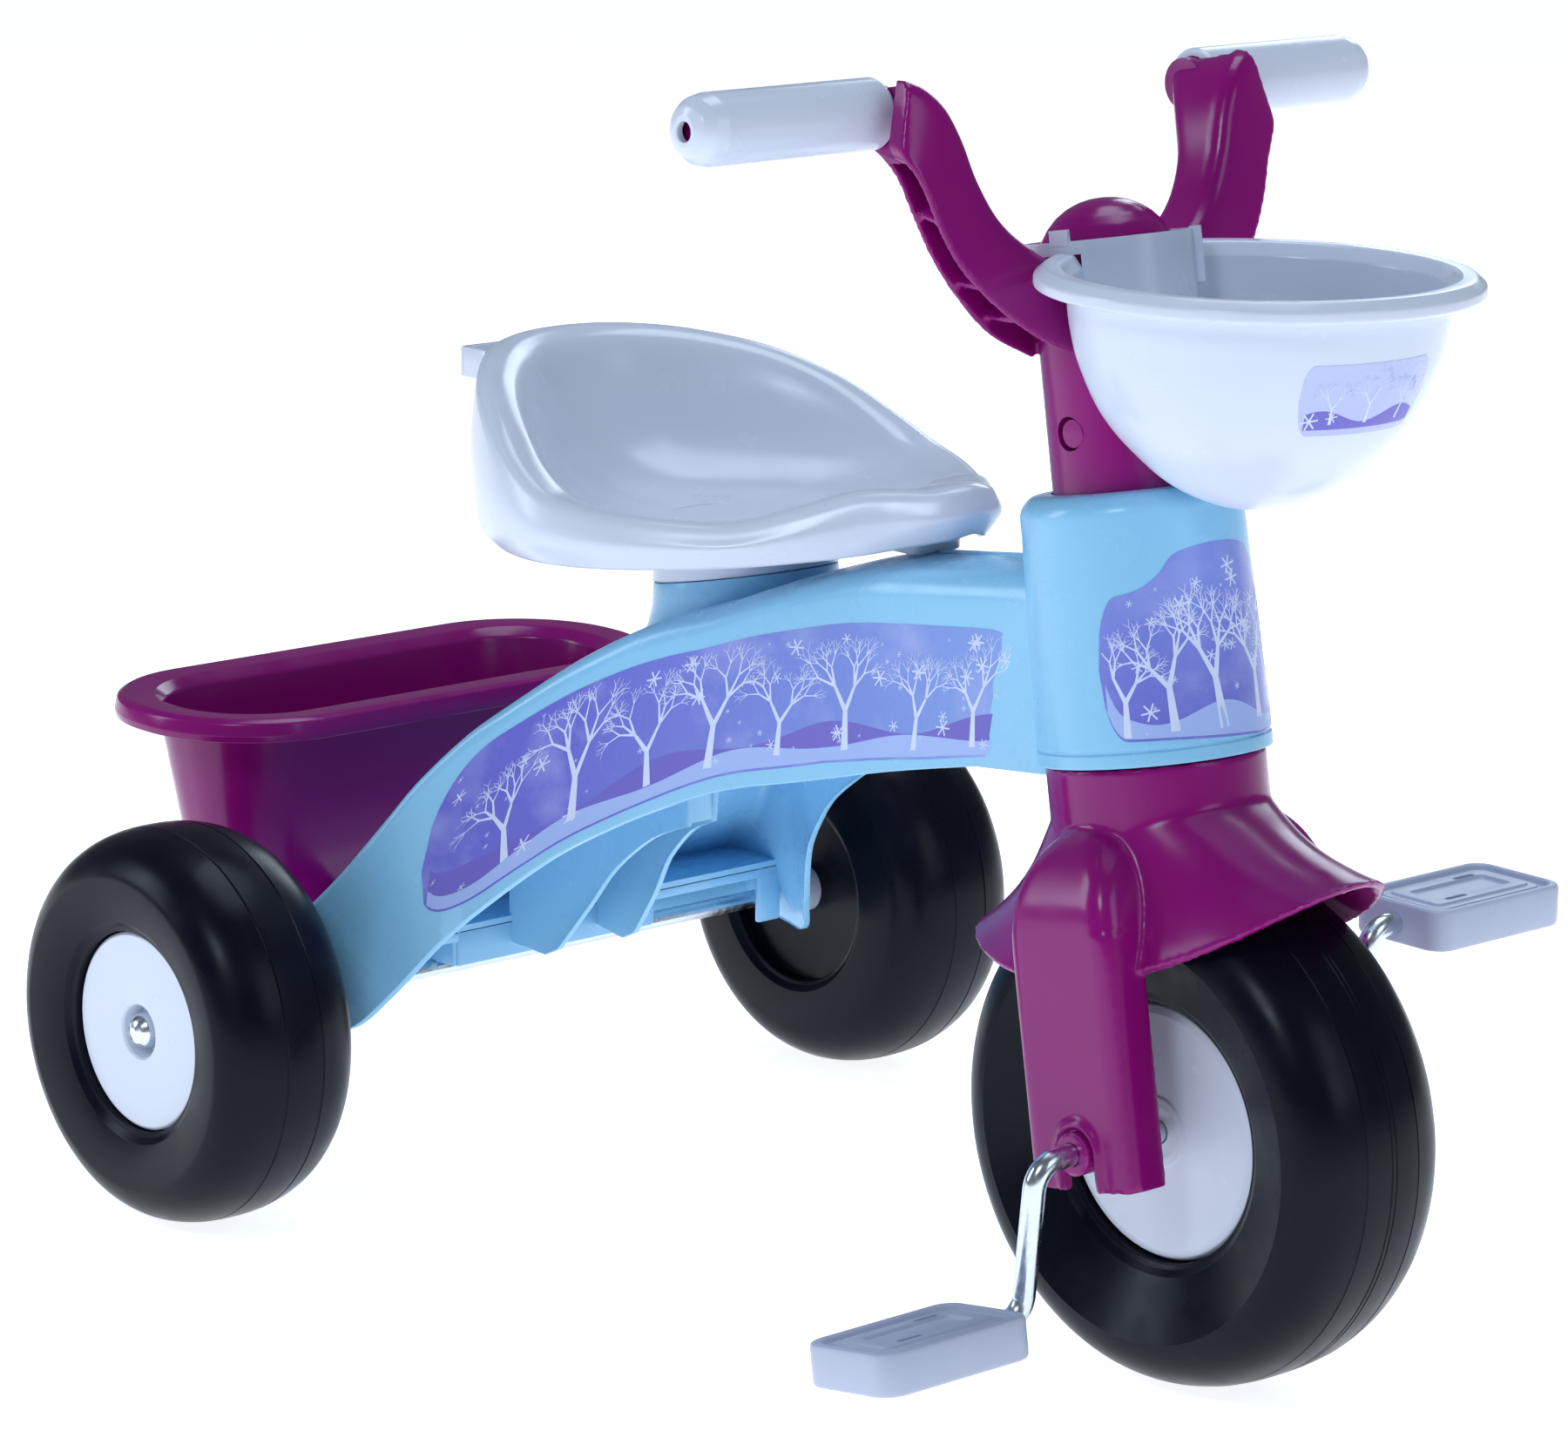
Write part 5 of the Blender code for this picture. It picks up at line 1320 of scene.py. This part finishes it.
def band_stickers():
    """The long sticker on each side of the beam."""
    ends = (-BAND_ENDS[0], -BAND_ENDS[1])
    low, high = eased_ends(band_edge(BAND_LOW), band_edge(BAND_HIGH), ends, 26.0, 2.4)
    inside = inside_of(low, high, ends)
    for side, name in SIDES:
        rng = random.Random(11)
        surface = band_surface(side)
        columns = (ends[0], ends[1], 140)
        printed("band_sheet_" + name, [sheet(surface, columns, 8, low, high,
                                             (SHEET_LOW, SHEET_HIGH))],
                CHASSIS_MM, "band", "frame")
        hill = (ends[0] + 3.0, ends[1] - 3.0, 120)

        def crest(u, phase=0.0, lift=8.0):
            wave = 0.5 + 0.5 * math.sin(u / 13.0 + phase)
            return min(low(u) + 2.0 + lift * (0.55 + 0.45 * wave), high(u) - 2.0)
        rear = sheet(surface, hill, 3, lambda u: low(u) + 1.0, lambda u: crest(u, 1.0, 15.0),
                     (SHEET_LOW, 0.19))
        front = sheet(surface, hill, 3, lambda u: low(u) + 1.0, lambda u: crest(u, 4.0, 8.0),
                      (SHEET_LOW, 0.22))
        printed("band_hills_" + name, [rear], CHASSIS_MM, "hills", "frame")
        printed("band_snow_" + name, [front], CHASSIS_MM, "pale_hills", "frame")
        trees = [(97.0, 8.0, 44.0), (128.0, 8.0, 40.0), (163.0, 11.0, 50.0), (196.0, 12.0, 42.0),
                 (228.0, 11.0, 54.0), (256.0, 12.0, 46.0), (290.0, 12.0, 56.0),
                 (318.0, 14.0, 44.0)]
        art = winter_art(surface, inside, trees, 90, rng, ((72.0, 345.0), (4.0, 70.0)))
        printed("band_art_" + name, art, CHASSIS_MM, "snow", "frame")


def shield_sticker():
    """The sticker on the front of the collar."""
    table_high = [(45.0, 205.0), (31.0, 210.0), (20.0, 221.5), (1.0, 225.0), (-19.0, 222.8),
                  (-27.0, 215.4), (-37.0, 209.9), (-54.0, 207.6)]
    table_low = [(45.0, 150.5), (14.8, 148.6), (-26.2, 151.6), (-54.0, 152.8)]
    smooth_high = refined(table_high, 5)
    ends = (-53.0, 43.0)
    low, high = eased_ends(lambda u: between(table_low, u) + 1.2,
                           lambda u: between(smooth_high, u), ends, 9.0)
    inside = inside_of(low, high, ends)
    rng = random.Random(5)
    printed("shield_sheet", [sheet(collar_surface, (ends[0], ends[1], 72), 12, low, high,
                                   (SHEET_LOW, SHEET_HIGH))], STEERING_MM, "shield", "frame")
    span = (ends[0] + 2.0, ends[1] - 2.0, 60)

    def crest(u):
        return low(u) + 10.0 + 4.0 * math.sin(u / 9.0 + 2.0)
    printed("shield_hills", [sheet(collar_surface, span, 4, lambda u: low(u) + 1.0, crest,
                                   (SHEET_LOW, 0.2))], STEERING_MM, "pale_hills", "frame")
    trees = [(-44.0, 155.0, 42.0), (-26.0, 156.0, 52.0), (-6.0, 155.0, 60.0), (15.0, 156.0, 56.0),
             (33.0, 155.0, 44.0)]
    art = winter_art(collar_surface, inside, trees, 40, rng,
                     ((-50.0, 40.0), (152.0, 222.0)))
    printed("shield_art", art, STEERING_MM, "snow", "frame")


def basket_label():
    """The small sticker on the front of the bowl."""
    ends = (-37.5, 22.0)
    low, high = eased_ends(lambda u: 383.5, lambda u: 411.0, ends, 5.0)
    inside = inside_of(low, high, ends)
    rng = random.Random(3)
    printed("label_sheet", [sheet(bowl_surface, (ends[0], ends[1], 60), 10, low, high,
                                  (SHEET_LOW, SHEET_HIGH))], CHASSIS_MM, "label", "steering")

    def crest(u):
        return 391.0 + 2.5 * math.sin(u / 6.0)
    printed("label_hills", [sheet(bowl_surface, (ends[0] + 3.0, ends[1] - 3.0, 48), 4,
                                  lambda u: 386.0, crest, (SHEET_LOW, 0.2))],
            CHASSIS_MM, "hills", "steering")
    trees = [(-24.0, 388.0, 19.0), (-8.0, 388.0, 22.0), (9.0, 388.0, 18.0)]
    art = winter_art(bowl_surface, inside, trees, 10, rng, ((-34.0, 19.0), (386.0, 409.0)))
    printed("label_art", art, CHASSIS_MM, "snow", "steering")


# ------------------------------------------------------------------ kept nodes, studio and camera

KEPT = {
    "steel": ("seat_screw_rear", "seat_screw_front", "bin_screw_right", "bin_screw_left",
              "rear_axle"),
    "white": ("axle_spacer_right", "axle_spacer_left"),
    "magenta": ("axle_bush_right", "axle_bush_left"),
}


def finish_kept_nodes():
    """Gives the CAD nodes that stay visible their materials."""
    for finish, names in KEPT.items():
        for name in names:
            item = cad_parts[name]
            for slot in item.material_slots:
                slot.material = MATERIALS[finish]
            if not item.material_slots:
                item.data.materials.append(MATERIALS[finish])


FLOOR_HALF, FLOOR_DROP = 12.0, 0.0005


def studio():
    """A plain pale floor that runs into the background, and a bright even room."""
    mesh = bpy.data.meshes.new("floor")
    corners = [(x * FLOOR_HALF, y * FLOOR_HALF, 0.0) for x, y in ((-1, -1), (1, -1), (1, 1), (-1, 1))]
    mesh.from_pydata(corners, [], [(0, 1, 2, 3)])
    floor = bpy.data.objects.new("floor", mesh)
    bpy.context.scene.collection.objects.link(floor)
    floor.location.z = -FLOOR_DROP
    mesh.materials.append(studio_floor("floor_white"))
    world = bpy.data.worlds.new("studio")
    world.use_nodes = True
    ground = world.node_tree.nodes["Background"]
    ground.inputs["Color"].default_value = (0.80, 0.90, 1.0, 1.0)
    ground.inputs["Strength"].default_value = 0.15
    bpy.context.scene.world = world
    bpy.context.scene.view_settings.view_transform = "Standard"


LAMP_TINT = (0.76, 0.88, 1.0)
# name, shape, place, what it is aimed at, size and watts
LAMPS = (
    ("key", "DISK", (0.9, -1.9, 1.9), (0.0, 0.0, 0.2), (0.7, 0.7), 14.0),
    ("fill", "RECTANGLE", (2.1, 0.3, 1.2), (0.1, 0.0, 0.25), (0.8, 1.2), 6.0),
    ("left", "RECTANGLE", (-1.6, -1.7, 1.1), (-0.1, 0.0, 0.2), (0.6, 1.3), 15.0),
    ("top", "RECTANGLE", (-0.2, 0.5, 2.4), (0.0, 0.0, 0.2), (1.2, 1.2), 20.0),
    ("back", "RECTANGLE", (-1.2, 2.2, 1.4), (0.0, 0.0, 0.2), (1.0, 1.0), 12.0),
)


def lights():
    """Cool soft lamps all round the object."""
    for name, shape, place, target, size, power in LAMPS:
        lamp = bpy.data.lights.new(name, "AREA")
        lamp.shape = shape
        lamp.size = size[0]
        if shape == "RECTANGLE":
            lamp.size_y = size[1]
        lamp.energy = power
        lamp.color = LAMP_TINT
        item = bpy.data.objects.new(name, lamp)
        bpy.context.scene.collection.objects.link(item)
        item.location = place
        aim = Vector(target) - Vector(place)
        item.rotation_euler = aim.to_track_quat("-Z", "Y").to_euler()


CAMERA_TURN, CAMERA_RISE, CAMERA_ROLL = 48.2, 13.17, 0.79      # degrees
CAMERA_PLACE = (1.65911, -1.49413, 0.74038)
CAMERA_LENS, CAMERA_SHIFT = 127.76, (0.0030, -0.0013)


def camera():
    """The photographed view: a long lens from the front right, a little above."""
    azimuth, elevation, roll = (math.radians(a) for a in (CAMERA_TURN, CAMERA_RISE, CAMERA_ROLL))
    back = Vector((math.sin(azimuth) * math.cos(elevation),
                   -math.cos(azimuth) * math.cos(elevation), math.sin(elevation)))
    right = Vector((math.cos(azimuth), math.sin(azimuth), 0.0))
    up = back.cross(right)
    right, up = (right * math.cos(roll) + up * math.sin(roll),
                 up * math.cos(roll) - right * math.sin(roll))
    lens = bpy.data.cameras.new("camera")
    lens.sensor_fit = "HORIZONTAL"
    lens.sensor_width = 36.0
    lens.lens = CAMERA_LENS
    lens.shift_x, lens.shift_y = CAMERA_SHIFT
    item = bpy.data.objects.new("camera", lens)
    bpy.context.scene.collection.objects.link(item)
    turn = Matrix((right, up, back)).transposed().to_4x4()
    item.matrix_world = Matrix.Translation(CAMERA_PLACE) @ turn
    bpy.context.scene.camera = item


camera()
lights()
studio()
frame_piece()
seat_piece()
bin_piece()
fork_piece()
handlebar_piece()
bolt_caps()
grips()
basket_piece()
rear_wheels()
front_wheel()
crank_piece()
axle_caps()
band_stickers()
shield_sticker()
basket_label()
finish_kept_nodes()
